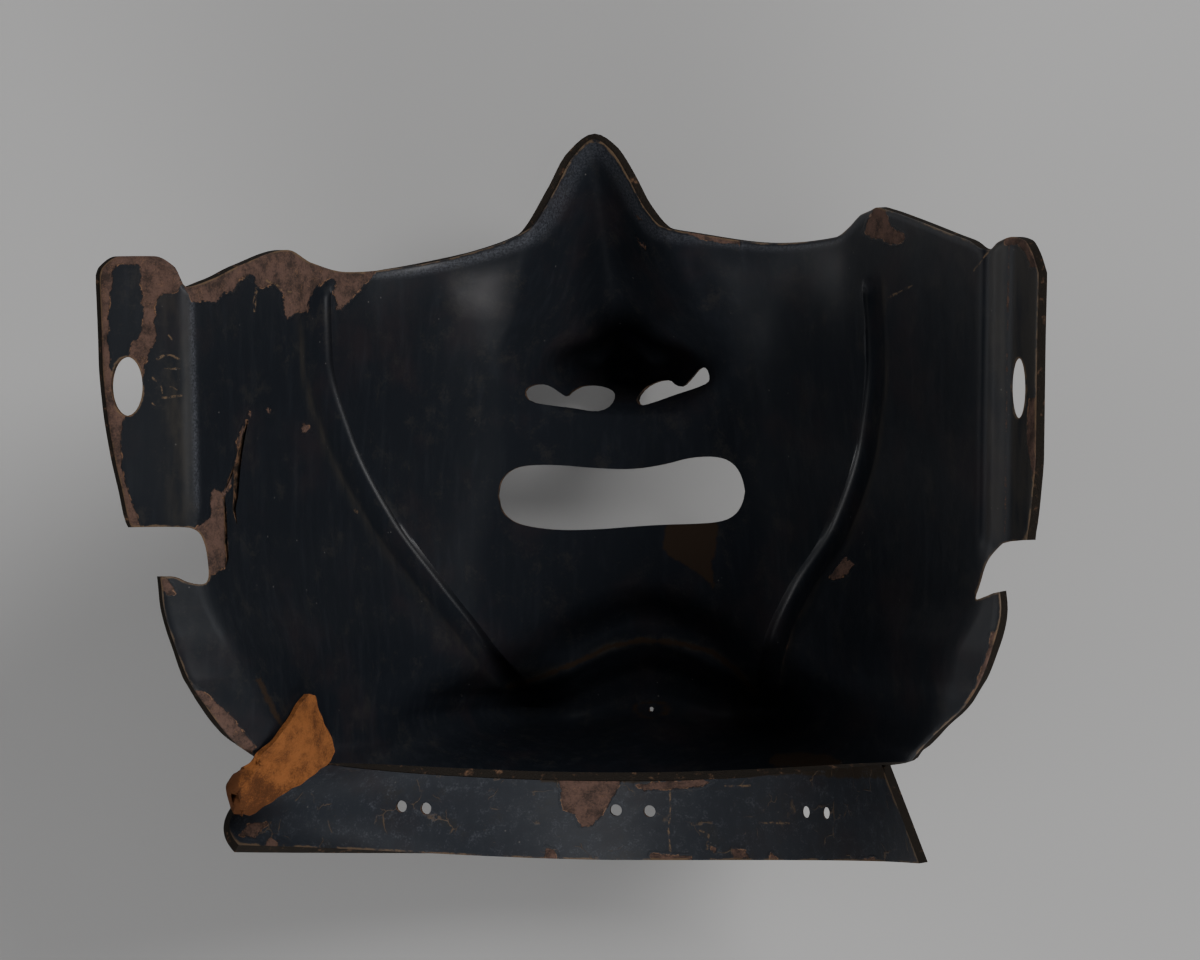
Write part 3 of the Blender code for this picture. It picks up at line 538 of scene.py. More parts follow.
class Graph:
    """The node graph of one material."""

    def __init__(self, name: str) -> None:
        """Start a material with one Principled shader.

        Args:
            name: The material's name.
        """
        self.material = bpy.data.materials.new(name)
        self.material.use_nodes = True
        self.tree = self.material.node_tree
        self.shader = self.tree.nodes["Principled BSDF"]
        coordinates = self.tree.nodes.new("ShaderNodeTexCoord")
        per_metre = 1 / MM
        self.place = Socket(self, coordinates.outputs["Object"]).stretched(per_metre, per_metre, per_metre)
        self.in_mask: tuple[Socket, Socket] | None = None

    def node(self, kind: str, inputs: dict | tuple, output: int | str = 0, **settings: object) -> Socket:
        """Add any node.

        Args:
            kind: The node's type.
            inputs: Its inputs by name, or in order.
            output: The output that is wanted.
            settings: Its properties.

        Returns:
            The output, wrapped.
        """
        node = self.tree.nodes.new(kind)
        for key, value in settings.items():
            setattr(node, key, value)
        pairs = inputs.items() if isinstance(inputs, dict) else enumerate(inputs)
        for key, value in pairs:
            self.feed(node.inputs[key], value)
        return Socket(self, node.outputs[output])

    def feed(self, socket: bpy.types.NodeSocket, value: object) -> None:
        """Link a wrapped value to an input, or set a plain one."""
        if isinstance(value, Socket):
            self.tree.links.new(value.output, socket)
        elif isinstance(value, tuple) and len(value) == 3 and socket.type == "RGBA":
            socket.default_value = (*value, 1)
        else:
            socket.default_value = value

    def attribute(self, name: str) -> Socket:
        """Read a value that the mesh carries at its points."""
        return self.node("ShaderNodeAttribute", {}, "Fac", attribute_name=name, attribute_type="GEOMETRY")

    def noise(self, place: Socket, scale: float, detail: float = 3, roughness: float = 0.5,
              output: str = "Fac") -> Socket:
        """Make cloudy noise, scaled per millimetre, about 0.5."""
        return self.node("ShaderNodeTexNoise", {"Vector": place, "Scale": scale, "Detail": detail,
                                                "Roughness": roughness}, output)

    def cells(self, place: Socket, scale: float, feature: str = "F1") -> Socket:
        """Make cells, as the distance from their middles or their edges."""
        return self.node("ShaderNodeTexVoronoi", {"Vector": place, "Scale": scale}, "Distance",
                         feature=feature)

    def mix(self, share: Socket | float, first: object, second: object) -> Socket:
        """Blend two colours."""
        return self.node("ShaderNodeMix", {0: share, 6: first, 7: second}, 2, data_type="RGBA")

    def segment(self, line: Outline) -> Socket:
        """Give the distance in millimetres to a line drawn in mask coordinates."""
        across, up = self.mask_place()
        nearest = None
        for (ax, ay), (bx, by) in zip(line[:-1], line[1:]):
            run_x, run_y = bx - ax, by - ay
            run = max(run_x ** 2 + run_y ** 2, TINY)
            from_x, from_y = across - ax, up - ay
            share = from_x.times_plus(run_x / run, from_y * (run_y / run), clamp=True)
            off_x, off_y = share.times_plus(-run_x, from_x), share.times_plus(-run_y, from_y)
            square = off_x.times_plus(off_x, off_y * off_y)
            nearest = square if nearest is None else nearest.least(square)
        return nearest.math("SQRT")

    def mask_place(self) -> tuple[Socket, Socket]:
        """Give the place in mask coordinates, in millimetres across and up."""
        if self.in_mask is None:
            parts = self.tree.nodes.new("ShaderNodeSeparateXYZ")
            self.feed(parts.inputs[0], self.place)
            shift_x, shift_y = Ground.shift
            self.in_mask = (Socket(self, parts.outputs[0]) - shift_x / MM,
                            Socket(self, parts.outputs[1]) - shift_y / MM)
        return self.in_mask

    def bump(self, height: Socket, reach: float) -> Socket:
        """Turn a height from 0 to 1 into a normal, with its reach in millimetres."""
        inputs = {"Strength": 1.0, "Distance": reach * MM, "Height": height}
        return self.node("ShaderNodeBump", inputs, "Normal")

    def finish(self, **values: object) -> bpy.types.Material:
        """Set the shader's inputs, with underscores for the spaces in their names."""
        for name, value in values.items():
            self.feed(self.shader.inputs[name.replace("_", " ")], value)
        return self.material


@dataclass(frozen=True)
class Lacquer:
    """Black lacquer on a brown ground, over rawhide."""

    name: str = "lacquer"
    colour: Triple = (0.0062, 0.0078, 0.0112)
    cloud: Triple = (0.016, 0.0115, 0.0135)
    ground: Triple = (0.108, 0.064, 0.05)
    dark_ground: Triple = (0.036, 0.025, 0.021)
    stain: Triple = (0.023, 0.015, 0.01)
    tan: Triple = (0.24, 0.128, 0.07)
    scratch: Triple = (0.15, 0.098, 0.055)
    # dust colour, bluish, also used as painted highlight on the rim and the left bend
    dust_and_sheen: Triple = (0.058, 0.061, 0.072)
    # olive-brown, used for wear and for painted sheen
    olive_wear_and_sheen: Triple = (0.046, 0.039, 0.029)
    scuff: Triple = (0.021, 0.02, 0.019)
    specks: Triple = (0.16, 0.15, 0.14)
    crackle: float = 0.0
    roughness: float = 0.44
    gloss: float = 0.42
    lines: tuple[Outline, ...] = ()
    line_width: float = 0.34
    ragged: float = 0.75
    tan_edges: float = 0.7

    def make(self) -> bpy.types.Material:
        """Build the material.

        Returns:
            A finish reading loss, stain, wear, matt, border, dust with painted highlight, olive with painted
            sheen.
        """
        graph = Graph(self.name)
        place = graph.place
        ragged = graph.noise(place, 0.42, 5, 0.62) - 0.5
        fine = graph.noise(place, 2.2, 4, 0.6) - 0.5
        grain = graph.noise(place, 4.5, 3, 0.6)
        loss = graph.attribute("loss") + ragged * (2.0 * self.ragged) + fine * 0.7
        bare = 1.0 - loss.step(-0.05, 0.05)
        wear = graph.attribute("wear")
        worn = (wear + ragged * 0.8 + fine * 0.6).step(0.5, 0.66)
        edge = 1.0 - abs(loss - 0.08).step(0.03, 0.16)
        edge = edge * graph.noise(place, 0.55, 4).step(0.5, 0.6)
        stained = 1.0 - (graph.attribute("stain") + ragged * 1.6 + fine * 0.9).step(-0.25, 0.3)
        # dust, with painted highlight along the rim and on the left bend
        dust_and_sheen = graph.attribute("dust_and_sheen")
        speckle = graph.noise(place, 2.4, 4, 0.72)
        dust_and_sheen_cover = (dust_and_sheen * (speckle.step(0.34, 0.72) * 1.25 + 0.12)).clamped()
        streak = graph.noise(place.stretched(1.0, 0.12, 1.0), 0.55, 4, 0.55)
        cloud = graph.noise(place, 0.055, 5, 0.6).step(0.48, 0.72)
        tone = (graph.noise(place, 0.3, 5, 0.66) + fine * 0.5).step(0.3, 0.66)
        matt = graph.attribute("matt")
        ground = graph.mix(tone, self.dark_ground, self.ground)
        ground = graph.mix((grain + ragged * 0.6).step(0.56, 0.8) * 0.5, ground, self.tan)
        lacquer = graph.mix(cloud * 0.6, self.colour, self.cloud)
        lacquer = graph.mix(streak.step(0.46, 0.8) * 0.07, lacquer, self.dust_and_sheen)
        scuffed = (graph.noise(place, 0.16, 6, 0.72) + fine * 0.35).step(0.52, 0.7)
        lacquer = graph.mix(scuffed * 0.55, lacquer, self.scuff)
        smear = graph.noise(place.stretched(1.0, 0.22, 1.0), 0.35, 4)
        # olive tone, partly wear and partly painted sheen
        olive_wear_and_sheen = graph.attribute("olive_wear_and_sheen") * smear.step(0.3, 0.62)
        lacquer = graph.mix(olive_wear_and_sheen, lacquer, self.olive_wear_and_sheen)
        # lay on dust and painted highlight
        lacquer = graph.mix(dust_and_sheen_cover, lacquer, self.dust_and_sheen)
        lacquer = graph.mix(stained, lacquer, self.stain)
        if self.crackle:
            warp = graph.noise(place, 0.22, 4, output="Color")
            bent = place.moved(warp.stretched(7.0, 7.0, 0.0))
            flakes = graph.cells(bent, 0.13, "DISTANCE_TO_EDGE")
            where = graph.noise(place, 0.16, 4).step(0.52, 0.62)
            flaking = (1.0 - flakes.step(0.004, 0.022)) * where * self.crackle
            lacquer = graph.mix(flaking * 0.38, lacquer, self.scratch)
            rough_dust = (speckle + ragged * 0.9).step(0.52, 0.86) * 0.75
            lacquer = graph.mix(rough_dust, lacquer, self.dust_and_sheen)
        speck = 1.0 - (graph.cells(place, 0.3) + fine * 0.06).step(0.03, 0.07)
        speck = speck * graph.noise(place, 0.1, 3).step(0.5, 0.58)
        lacquer = graph.mix(speck * 0.4, lacquer, self.specks)
        uncovered = bare.most(worn)
        colour = graph.mix(uncovered, lacquer, ground)
        colour = graph.mix(edge * self.tan_edges, colour, self.tan)
        frayed = ragged * 0.9 + fine * 0.35
        rubbed = 1.0 - (graph.attribute("border") + frayed).step(0.2, 0.42)
        rubbed = rubbed * (graph.noise(place, 0.2, 4) + fine * 0.3).step(0.4, 0.54)
        colour = graph.mix(rubbed * 0.62, colour, self.scratch)
        mark = None
        width = self.line_width * 0.5
        for line in self.lines:
            found = 1.0 - (graph.segment(line) + frayed).step(width * 0.5, width * 1.6)
            mark = found if mark is None else mark.most(found)
        if mark is not None:
            broken = (graph.noise(place, 1.1, 4, 0.7)).step(0.42, 0.6)
            colour = graph.mix(mark * broken * 0.8, colour, self.scratch)
        roughness = (uncovered * 0.4 + dust_and_sheen_cover * 0.3 + (streak - 0.5) * 0.1 + (speckle - 0.5) * 0.14
                     + stained * 0.2 + matt * 0.48 + self.roughness)
        lift = 1.0 - abs(loss - 0.3).step(0.0, 0.45)
        pitted = (graph.noise(place, 0.14, 3) - 0.5) * 1.5
        if self.crackle:
            pitted = pitted + flaking * 0.5
        height = ((1.0 - bare) * 0.8 + (speckle - 0.5) * 0.07 + lift * 0.25 + pitted * 0.55
                  + uncovered * grain * 0.3)
        gloss = (1.0 - matt * 0.94) * (1.0 - uncovered * 0.85) * (1.0 - stained * 0.7) * self.gloss
        return graph.finish(Base_Color=colour, Roughness=roughness, Normal=graph.bump(height, 0.32),
                            Specular_IOR_Level=0.12, Coat_Weight=gloss, Coat_Roughness=0.45)


@dataclass(frozen=True)
class Hide:
    """Old rawhide where it shows at cut edges and in holes, under what is left of the lacquer."""

    name: str = "rawhide"
    dark: Triple = (0.017, 0.0135, 0.0105)
    light: Triple = (0.2, 0.115, 0.064)
    shade: Triple = (0.085, 0.045, 0.03)
    share: float = 0.5

    def make(self) -> bpy.types.Material:
        """Build the material."""
        graph = Graph(self.name)
        tone = graph.noise(graph.place, 0.45, 5, 0.65).step(1.0 - self.share - 0.1, 1.0 - self.share + 0.1)
        fibre = graph.noise(graph.place.stretched(1, 1, 4), 1.8, 4, 0.7)
        light = graph.mix(fibre.step(0.3, 0.7), self.shade, self.light)
        return graph.finish(Base_Color=graph.mix(tone, self.dark, light), Roughness=0.85,
                            Normal=graph.bump(fibre, 0.3), Specular_IOR_Level=0.12)


@dataclass(frozen=True)
class Suede:
    """Orange-brown leather with a worn nap."""

    name: str = "suede"
    light: Triple = (0.265, 0.098, 0.031)
    dark: Triple = (0.085, 0.032, 0.012)

    def make(self) -> bpy.types.Material:
        """Build the material."""
        graph = Graph(self.name)
        patch = graph.noise(graph.place, 0.28, 5, 0.6)
        nap = graph.noise(graph.place, 2.6, 5, 0.75)
        # darker towards the left and the low end of the tab
        left_low_darkening = graph.attribute("left_low_darkening")
        tone = (patch + (nap - 0.5) * 0.8 - left_low_darkening * 0.6).step(0.18, 0.66)
        return graph.finish(Base_Color=graph.mix(tone, self.dark, self.light), Roughness=0.95,
                            Normal=graph.bump(nap * 0.6 + patch * 0.5, 0.45), Specular_IOR_Level=0.15)


@dataclass(frozen=True)
class Paper:
    """Plain pale backdrop."""

    name: str = "paper"
    colour: Triple = (0.475, 0.47, 0.464)

    def make(self) -> bpy.types.Material:
        """Build the material."""
        return Graph(self.name).finish(Base_Color=self.colour, Roughness=0.9, Specular_IOR_Level=0.1)


class Piece:
    """A mesh of the scene on its way to its place on the ground."""

    ground = Ground()
    name = ""
    node = ""
    slot = ""
    outer_normal = -0.25
    border_limit = 10
    smooth_angle = 40

    def __init__(self, sizes: MaskSizes) -> None:
        """Keep the sizes and the form.

        Args:
            sizes: The shell's sizes.
        """
        self.sizes = sizes
        self.form = FaceForm(sizes)
        self.obj: bpy.types.Object | None = None

    def read_vertices(self, kind: str) -> np.ndarray:
        """Give one vector of every vertex, as one flat array."""
        flat = np.empty(len(self.obj.data.vertices) * 3, dtype=np.float32)
        self.obj.data.vertices.foreach_get(kind, flat)
        return flat

    def sheet(self, points: np.ndarray) -> None:
        """Lay a fresh grid over a grid of points in mask coordinates."""
        rows, columns = points.shape[:2]
        bpy.ops.object.select_all(action="DESELECT")
        bpy.ops.mesh.primitive_grid_add(x_subdivisions=columns - 1, y_subdivisions=rows - 1, size=2)
        self.obj = bpy.context.object
        self.obj.name = self.obj.data.name = self.name
        settled = self.ground.settle(points).reshape(-1, 3)
        self.obj.data.vertices.foreach_set("co", settled.astype(np.float32).ravel())
        self.obj.data.update()

    def apply(self, kind: str, **settings: object) -> None:
        """Add a modifier and apply it."""
        modifier = self.obj.modifiers.new(kind.lower(), kind)
        for key, value in settings.items():
            setattr(modifier, key, value)
        bpy.ops.object.select_all(action="DESELECT")
        bpy.context.view_layer.objects.active = self.obj
        self.obj.select_set(True)
        bpy.ops.object.modifier_apply(modifier=modifier.name)

    def shift_heights(self, amounts: np.ndarray) -> None:
        """Raise every point by its own amount, in metres."""
        flat = self.read_vertices("co")
        flat[2::3] += amounts
        self.obj.data.vertices.foreach_set("co", flat)
        self.obj.data.update()

    def cut(self, cutters: list[bpy.types.Object], finish: bpy.types.Material) -> None:
        """Take a set of cutters out of the piece, paint the cut walls and remove the cutters."""
        bpy.ops.object.select_all(action="DESELECT")
        for cutter in cutters:
            cutter.data.materials.append(finish)
            cutter.select_set(True)
        bpy.context.view_layer.objects.active = cutters[0]
        bpy.ops.object.join()
        tool = bpy.context.view_layer.objects.active
        self.apply("BOOLEAN", operation="DIFFERENCE", solver="EXACT", material_mode="TRANSFER", object=tool)
        bpy.data.objects.remove(tool)

    def paint(self, finishes: Sequence[bpy.types.Material]) -> None:
        """Give the piece its finishes, in the order of its slots."""
        for finish in finishes:
            self.obj.data.materials.append(finish)

    def mask_points(self) -> np.ndarray:
        """Give the piece's points in mask coordinates across and up, in millimetres."""
        points = self.read_vertices("co").reshape(-1, 3).astype(float)
        return (points[:, :2] - np.array(self.ground.shift)) / MM

    def on_outer_side(self) -> np.ndarray:
        """Tell for each point whether it lies on the hidden outer side, by its normal."""
        return self.read_vertices("normal")[2::3] < self.outer_normal

    def carry(self, name: str, values: np.ndarray) -> None:
        """Store a value at every point for the material to read."""
        attribute = self.obj.data.attributes.new(name, "FLOAT", "POINT")
        attribute.data.foreach_set("value", values.astype(np.float32))

    def finish(self) -> None:
        """Shade the piece, let it ride on the mask and put it in place of its solid."""
        self.obj.data.shade_smooth()
        self.obj.data.set_sharp_from_angle(angle=math.radians(self.smooth_angle))
        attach(self.obj, "root")
        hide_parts(self.node)
        self.obj.data.calc_loop_triangles()
        LOG.info("%s: %d triangles", self.name, len(self.obj.data.loop_triangles))


def prism(outline: Outline, ground: Ground, low: np.ndarray | float = BELOW_ALL) -> bpy.types.Object:
    """Make an upright cutter that reaches above the whole mask.

    Args:
        outline: Its corners in metres, in mask coordinates.
        ground: The plane that the mask is set on.
        low: The height of its bottom, one value or one a corner.

    Returns:
        The cutter.
    """
    turn = sum(a[0] * b[1] - b[0] * a[1] for a, b in zip(outline, list(outline[1:]) + [outline[0]]))
    flat = np.array(outline, dtype=float)
    lows = np.broadcast_to(np.asarray(low, dtype=float), (len(flat),)).copy()
    if turn > 0:
        flat, lows = flat[::-1], lows[::-1]
    count = len(flat)
    bpy.ops.object.select_all(action="DESELECT")
    bpy.ops.mesh.primitive_cylinder_add(vertices=count, radius=1, depth=2, end_fill_type="TRIFAN")
    cutter = bpy.context.object
    middle = flat.mean(axis=0)
    bottom = np.column_stack([flat, lows])
    top = np.column_stack([flat, np.full(count, ABOVE_ALL)])
    ring = np.empty((2 * count, 3))
    ring[0::2], ring[1::2] = bottom, top
    caps = np.array([[*middle, lows.mean()], [*middle, ABOVE_ALL]])
    points = ground.settle(np.concatenate([ring, caps]))
    order = np.empty(len(cutter.data.vertices) * 3, dtype=np.float32)
    cutter.data.vertices.foreach_get("co", order)
    is_cap = np.hypot(*order.reshape(-1, 3)[:, :2].T) < 0.5
    placed = np.empty((len(is_cap), 3))
    placed[~is_cap] = points[:-2]
    placed[is_cap] = points[-2:]
    cutter.data.vertices.foreach_set("co", placed.astype(np.float32).ravel())
    cutter.data.update()
    return cutter


def oval(centre: tuple[float, float], width: float, height: float, sides: int) -> Outline:
    """Give an oval outline."""
    turns = [2 * math.pi * (i + 0.5) / sides for i in range(sides)]
    return [(centre[0] + width / 2 * math.cos(t), centre[1] + height / 2 * math.sin(t)) for t in turns]


def ribbon(line: Outline, widths: Sequence[float]) -> Outline:
    """Widen an open line into a thin outline with pointed ends."""
    points = np.array(line, dtype=float)
    along = np.gradient(points, axis=0)
    along /= np.linalg.norm(along, axis=1, keepdims=True)
    across = np.column_stack([-along[:, 1], along[:, 0]]) * np.array(widths)[:, None] / 2
    left, right = points + across, points - across
    return [tuple(p) for p in np.concatenate([right, left[::-1]])]


TOP_LEFT_LOSS: Outline = (
    (-75.5, 95.2), (-74.4, 93.1), (-73.6, 92.6), (-72.1, 93.1), (-70.9, 92.7), (-70.1, 93.5), (-69.5, 94.7),
    (-68.3, 94.8), (-67.7, 96.3), (-67.2, 97.8), (-65.7, 98.3), (-64.6, 98.0), (-64.8, 96.4), (-63.9, 95.7),
    (-63.0, 96.4), (-62.1, 97.0), (-61.2, 95.9), (-60.3, 94.8), (-60.4, 92.9), (-60.2, 91.0), (-59.9, 90.0),
    (-58.4, 91.4), (-57.1, 91.4), (-56.8, 92.3), (-56.6, 94.3), (-55.7, 96.2), (-54.2, 97.8), (-52.4, 98.5),
    (-52.0, 97.1), (-52.7, 95.5), (-51.9, 93.6), (-52.1, 92.1), (-51.3, 92.1), (-50.3, 93.3), (-49.1, 95.3),
    (-48.0, 96.8), (-46.6, 98.4), (-45.4, 101.0), (-45.0, 108.0), (-61.0, 112.0), (-77.0, 106.0))
EAR_LOSS: Outline = (
    (-97.0, 106.0), (-76.3, 106.0), (-76.2, 95.2), (-76.9, 94.6), (-80.1, 94.0), (-81.1, 91.8), (-81.1, 89.2),
    (-80.8, 86.9), (-81.1, 85.1), (-82.2, 83.2), (-82.3, 81.3), (-82.9, 80.1), (-83.7, 76.5), (-83.8, 73.5),
    (-84.8, 70.9), (-85.7, 70.6), (-86.7, 69.8), (-87.2, 66.1), (-87.0, 61.6), (-86.3, 57.9), (-85.2, 54.2),
    (-83.5, 49.4), (-84.0, 47.0), (-97.0, 47.0))
EAR_ISLAND: Outline = (
    (-88.5, 98.0), (-87.6, 99.5), (-86.1, 99.9), (-84.0, 99.6), (-83.4, 98.5), (-83.6, 95.9), (-83.4, 93.2),
    (-82.9, 90.3), (-83.3, 87.7), (-84.3, 85.4), (-85.4, 83.9), (-85.8, 82.4), (-86.9, 80.6), (-88.4, 79.3),
    (-89.0, 79.8), (-89.3, 83.9), (-89.5, 86.1), (-89.2, 88.4), (-89.3, 91.4), (-88.8, 95.1))
SHELL_LOSSES: tuple[Outline, ...] = (
    TOP_LEFT_LOSS, EAR_LOSS,
    ((-65.2, 74.0), (-65.6, 71.9), (-66.2, 70.1), (-66.8, 68.3), (-67.5, 66.2), (-67.8, 64.5), (-67.4, 63.8),
     (-67.1, 62.4), (-67.8, 60.2), (-68.5, 57.5), (-69.1, 55.7), (-69.3, 56.8), (-68.2, 59.8), (-67.6, 62.4),
     (-67.0, 65.8), (-66.3, 68.3), (-65.9, 70.0), (-65.2, 72.1)),
    ((-71.3, 57.5), (-70.2, 56.3), (-69.5, 55.8), (-69.4, 52.7), (-69.2, 46.7), (-69.0, 43.7), (-69.2, 41.8),
     (-70.3, 40.9), (-72.2, 39.6), (-72.4, 42.9), (-73.1, 46.7), (-74.1, 49.3), (-72.0, 50.8), (-71.3, 51.5),
     (-71.3, 54.9)),
    ((13.3, 108.7), (17.2, 106.9), (21.1, 105.9), (25.5, 105.4), (25.9, 104.8), (26.2, 108.5), (14.0, 111.5)),
    ((54.5, 113.5), (56.8, 109.6), (57.5, 107.7), (60.7, 105.4), (59.7, 104.2), (57.4, 104.4), (55.6, 105.4),
     (53.3, 105.8), (51.7, 106.9), (52.8, 109.3)),
    ((4.7, 111.9), (5.8, 111.5), (6.9, 110.5), (5.7, 110.3), (4.6, 111.0)),
    ((4.5, 107.2), (5.7, 106.3), (6.6, 104.6), (5.6, 105.3)),
    ((-75.0, 18.3), (-72.5, 18.3), (-70.8, 16.4), (-68.6, 14.2), (-67.0, 12.3), (-65.4, 9.7), (-63.8, 7.1),
     (-65.1, 5.5), (-67.9, 8.9), (-71.6, 12.9), (-75.3, 15.8)),
    ((-81.0, 40.8), (-78.6, 39.4), (-77.6, 38.2), (-77.2, 37.0), (-78.4, 36.6), (-79.4, 37.6), (-81.0, 37.6)),
    ((85.7, 73.4), (86.3, 73.8), (89.0, 75.0), (89.0, 58.1), (86.5, 58.1), (85.5, 64.6), (85.3, 69.4)),
    ((80.5, 105.0), (80.9, 103.0), (81.7, 102.6), (83.8, 102.7), (85.1, 100.7), (85.9, 98.2), (89.0, 98.0),
     (86.0, 106.0)),
    ((45.9, 41.9), (47.3, 43.7), (49.2, 42.0), (46.8, 39.0), (43.6, 38.9)),
    ((-57.8, 69.2), (-56.6, 69.6), (-56.4, 68.0), (-57.6, 67.9)),
    ((-63.1, 72.6), (-62.4, 72.2), (-62.7, 71.3)),
    ((81.0, 31.0), (78.4, 29.6), (76.9, 24.0), (74.6, 18.6), (71.9, 12.8), (76.0, 10.0), (81.0, 20.0)),
)
SHELL_STAINS: tuple[Outline, ...] = (
    ((9.4, 50.4), (19.7, 50.8), (19.7, 46.2), (18.3, 41.5), (18.8, 36.4), (16.6, 38.6), (13.1, 41.5),
     (9.6, 43.2), (7.9, 45.1), (8.7, 47.1)),
    ((31.8, 3.7), (36.6, 4.2), (44.5, 4.0), (46.8, 2.9), (46.0, 1.0), (37.0, 1.5), (31.0, 2.0)),
    ((-62.6, 20.6), (-60.4, 14.2), (-58.4, 10.0), (-58.8, 9.6), (-60.9, 13.8), (-63.4, 20.2)),
)
CREST_LINE: Outline = ((-23.8, 16.3), (-17.8, 18.1), (-9.3, 21.6), (-3.5, 24.5), (3.1, 25.9), (10.3, 25.4),
                       (17.8, 23.5), (22.9, 20.0), (26.0, 15.4))
NECK_LOSSES: tuple[Outline, ...] = (
    ((-10.9, -1.4), (-5.5, -1.5), (1.6, -1.7), (-1.1, -6.3), (-2.6, -8.6), (-4.7, -10.8), (-6.7, -11.2),
     (-8.0, -8.6), (-10.2, -7.7), (-10.6, -4.4)),
    ((4.5, -2.6), (11.0, -1.8), (17.3, -1.4), (19.7, -1.7), (17.4, -2.7), (10.9, -3.3), (6.3, -3.7)),
    ((31.7, -15.9), (33.1, -17.0), (32.4, -19.0), (31.0, -19.0)),
    ((23.6, -15.5), (26.5, -15.4), (26.9, -17.2), (24.1, -17.3)),
    ((18.9, -14.9), (20.6, -15.2), (20.0, -16.2)),
    ((6.8, -16.6), (15.1, -17.1), (15.4, -20.0), (7.0, -20.0)),
    ((50.4, -15.9), (53.7, -15.7), (54.4, -18.6), (50.6, -18.6)),
    ((-14.1, -15.4), (-12.3, -15.9), (-12.0, -20.0), (-15.0, -20.0)),
    ((-66.3, -8.6), (-65.1, -8.9), (-66.9, -11.4), (-69.4, -10.8), (-68.6, -8.8)),
    ((-64.3, -11.3), (-62.9, -12.4), (-63.2, -14.4), (-65.2, -13.6)),
    ((57.4, 1.6), (59.6, -1.6), (61.6, -7.6), (63.6, -14.0), (63.4, -17.2), (68.0, -16.0), (64.0, 2.0)),
)
NECK_STAINS: tuple[Outline, ...] = (
    ((-14.6, 2.6), (3.4, 2.6), (21.8, 3.2), (31.8, 5.0), (46.8, 5.0), (58.0, 6.0), (58.0, 0.4), (46.7, -0.1),
     (37.0, 0.1), (22.1, -1.0), (3.6, -1.9), (-14.5, -1.9)),
)
LIGHT_LINES: tuple[Outline, ...] = (
    ((-80.6, 81.7), (-79.5, 82.3), (-78.3, 82.5), (-76.6, 81.7)), ((-79.3, 79.9), (-76.4, 79.8)),
    ((-81.5, 78.2), (-80.8, 77.1)), ((-80.0, 76.5), (-79.7, 75.2)), ((-78.3, 76.4), (-77.0, 75.8)),
    ((-81.5, 73.2), (-81.1, 72.8)), ((-79.7, 74.3), (-76.1, 74.7)), ((-78.6, 86.2), (-77.6, 85.1)),
    ((-64.6, 95.7), (-64.8, 93.4), (-64.9, 91.3)),
    ((-63.0, 97.3), (-61.5, 96.6), (-60.6, 95.5), (-59.0, 95.2)),
    ((57.0, 94.0), (62.0, 96.0)), ((-48.6, 43.6), (-48.2, 43.2)), ((-49.3, 52.7), (-49.0, 52.2)),
    ((74.6, 98.0), (76.0, 99.4), (77.6, 101.6)),
)
NECK_LINES: tuple[Outline, ...] = (
    ((11.2, -3.5), (11.2, -7.2), (10.6, -11.8), (10.9, -16.5)), ((29.4, -9.9), (35.5, -9.8)),
    ((57.0, 0.2), (60.2, -4.4), (61.6, -8.0), (64.0, -15.4)), ((17.1, -11.7), (18.8, -12.6), (18.4, -15.4)),
    ((22.5, -2.6), (27.5, -2.4)),
)
CRACKS = (
    (((-65.9, 70.1), (-66.4, 67.7), (-67.1, 63.9), (-67.5, 60.2), (-67.7, 55.6), (-68.0, 53.0),
      (-67.6, 50.2)),
     (0.15, 0.45, 0.75, 0.9, 0.7, 0.45, 0.1)),
    (((-69.4, 55.7), (-69.3, 52.7), (-69.2, 46.6), (-68.9, 43.6), (-69.1, 41.9)), (0.1, 0.4, 0.5, 0.4, 0.12)),
    (((-69.3, 56.6), (-68.4, 59.4), (-67.9, 61.4)), (0.1, 0.3, 0.1)),
)


@dataclass(frozen=True)
class ShellMarks:
    """Where the shell is worn and where highlight is painted, in millimetres: a start and a reach, or a
    middle and a width.
    """

    plain_loss: float = 3.0
    crest_stain: float = 0.45
    drain_middle: Pair = (4.7, 11.6)
    drain_radii: Pair = (3.4, 1.5)
    drain_band: Pair = (1.6, 0.2)
    ridge_ends: tuple[Pair, Pair] = ((0.78, -0.03), (0.1, 0.05))
    rubbed_ends: tuple[Pair, Pair] = ((0.46, -0.1), (0.12, 0.06))
    rubbed_crest: Pair = (2.5, 0.55)
    shoulder: Pair = (2.5, 0.5)
    groove_middle: float = 0.5
    groove: Pair = (1.3, 0.9)
    on_ear: Pair = (46, 3)
    ear_top: Pair = (96, -4)
    bead: Pair = (4.5, 0.5)
    seam: Pair = (-0.2, 0.5)
    face_middle: float = 1.0
    matt_fade: float = 9.0
    matt_low: Pair = (4, 10)
    left_flange: tuple[Pair, Pair] = ((3.5, 2.0), (44, 4))
    left_channel: Pair = (3.0, 2.2)
    left_channel_low: Pair = (48, 5)
    crest_width: float = 0.85
    outer_ear: Pair = (5.2, 0.8)
    right_channel: tuple[Pair, Pair] = ((0.6, 0.6), (4.4, -0.6))
    # the rim band of dust with painted highlight, and the painted highlight on the left bend
    rim_band: tuple[float, float, Pair] = (0.55, 0.7, (0.25, 0.5))
    bend_shine: Pair = (0.4, 0.42)
    bend_shine_low: Pair = (50, 6)


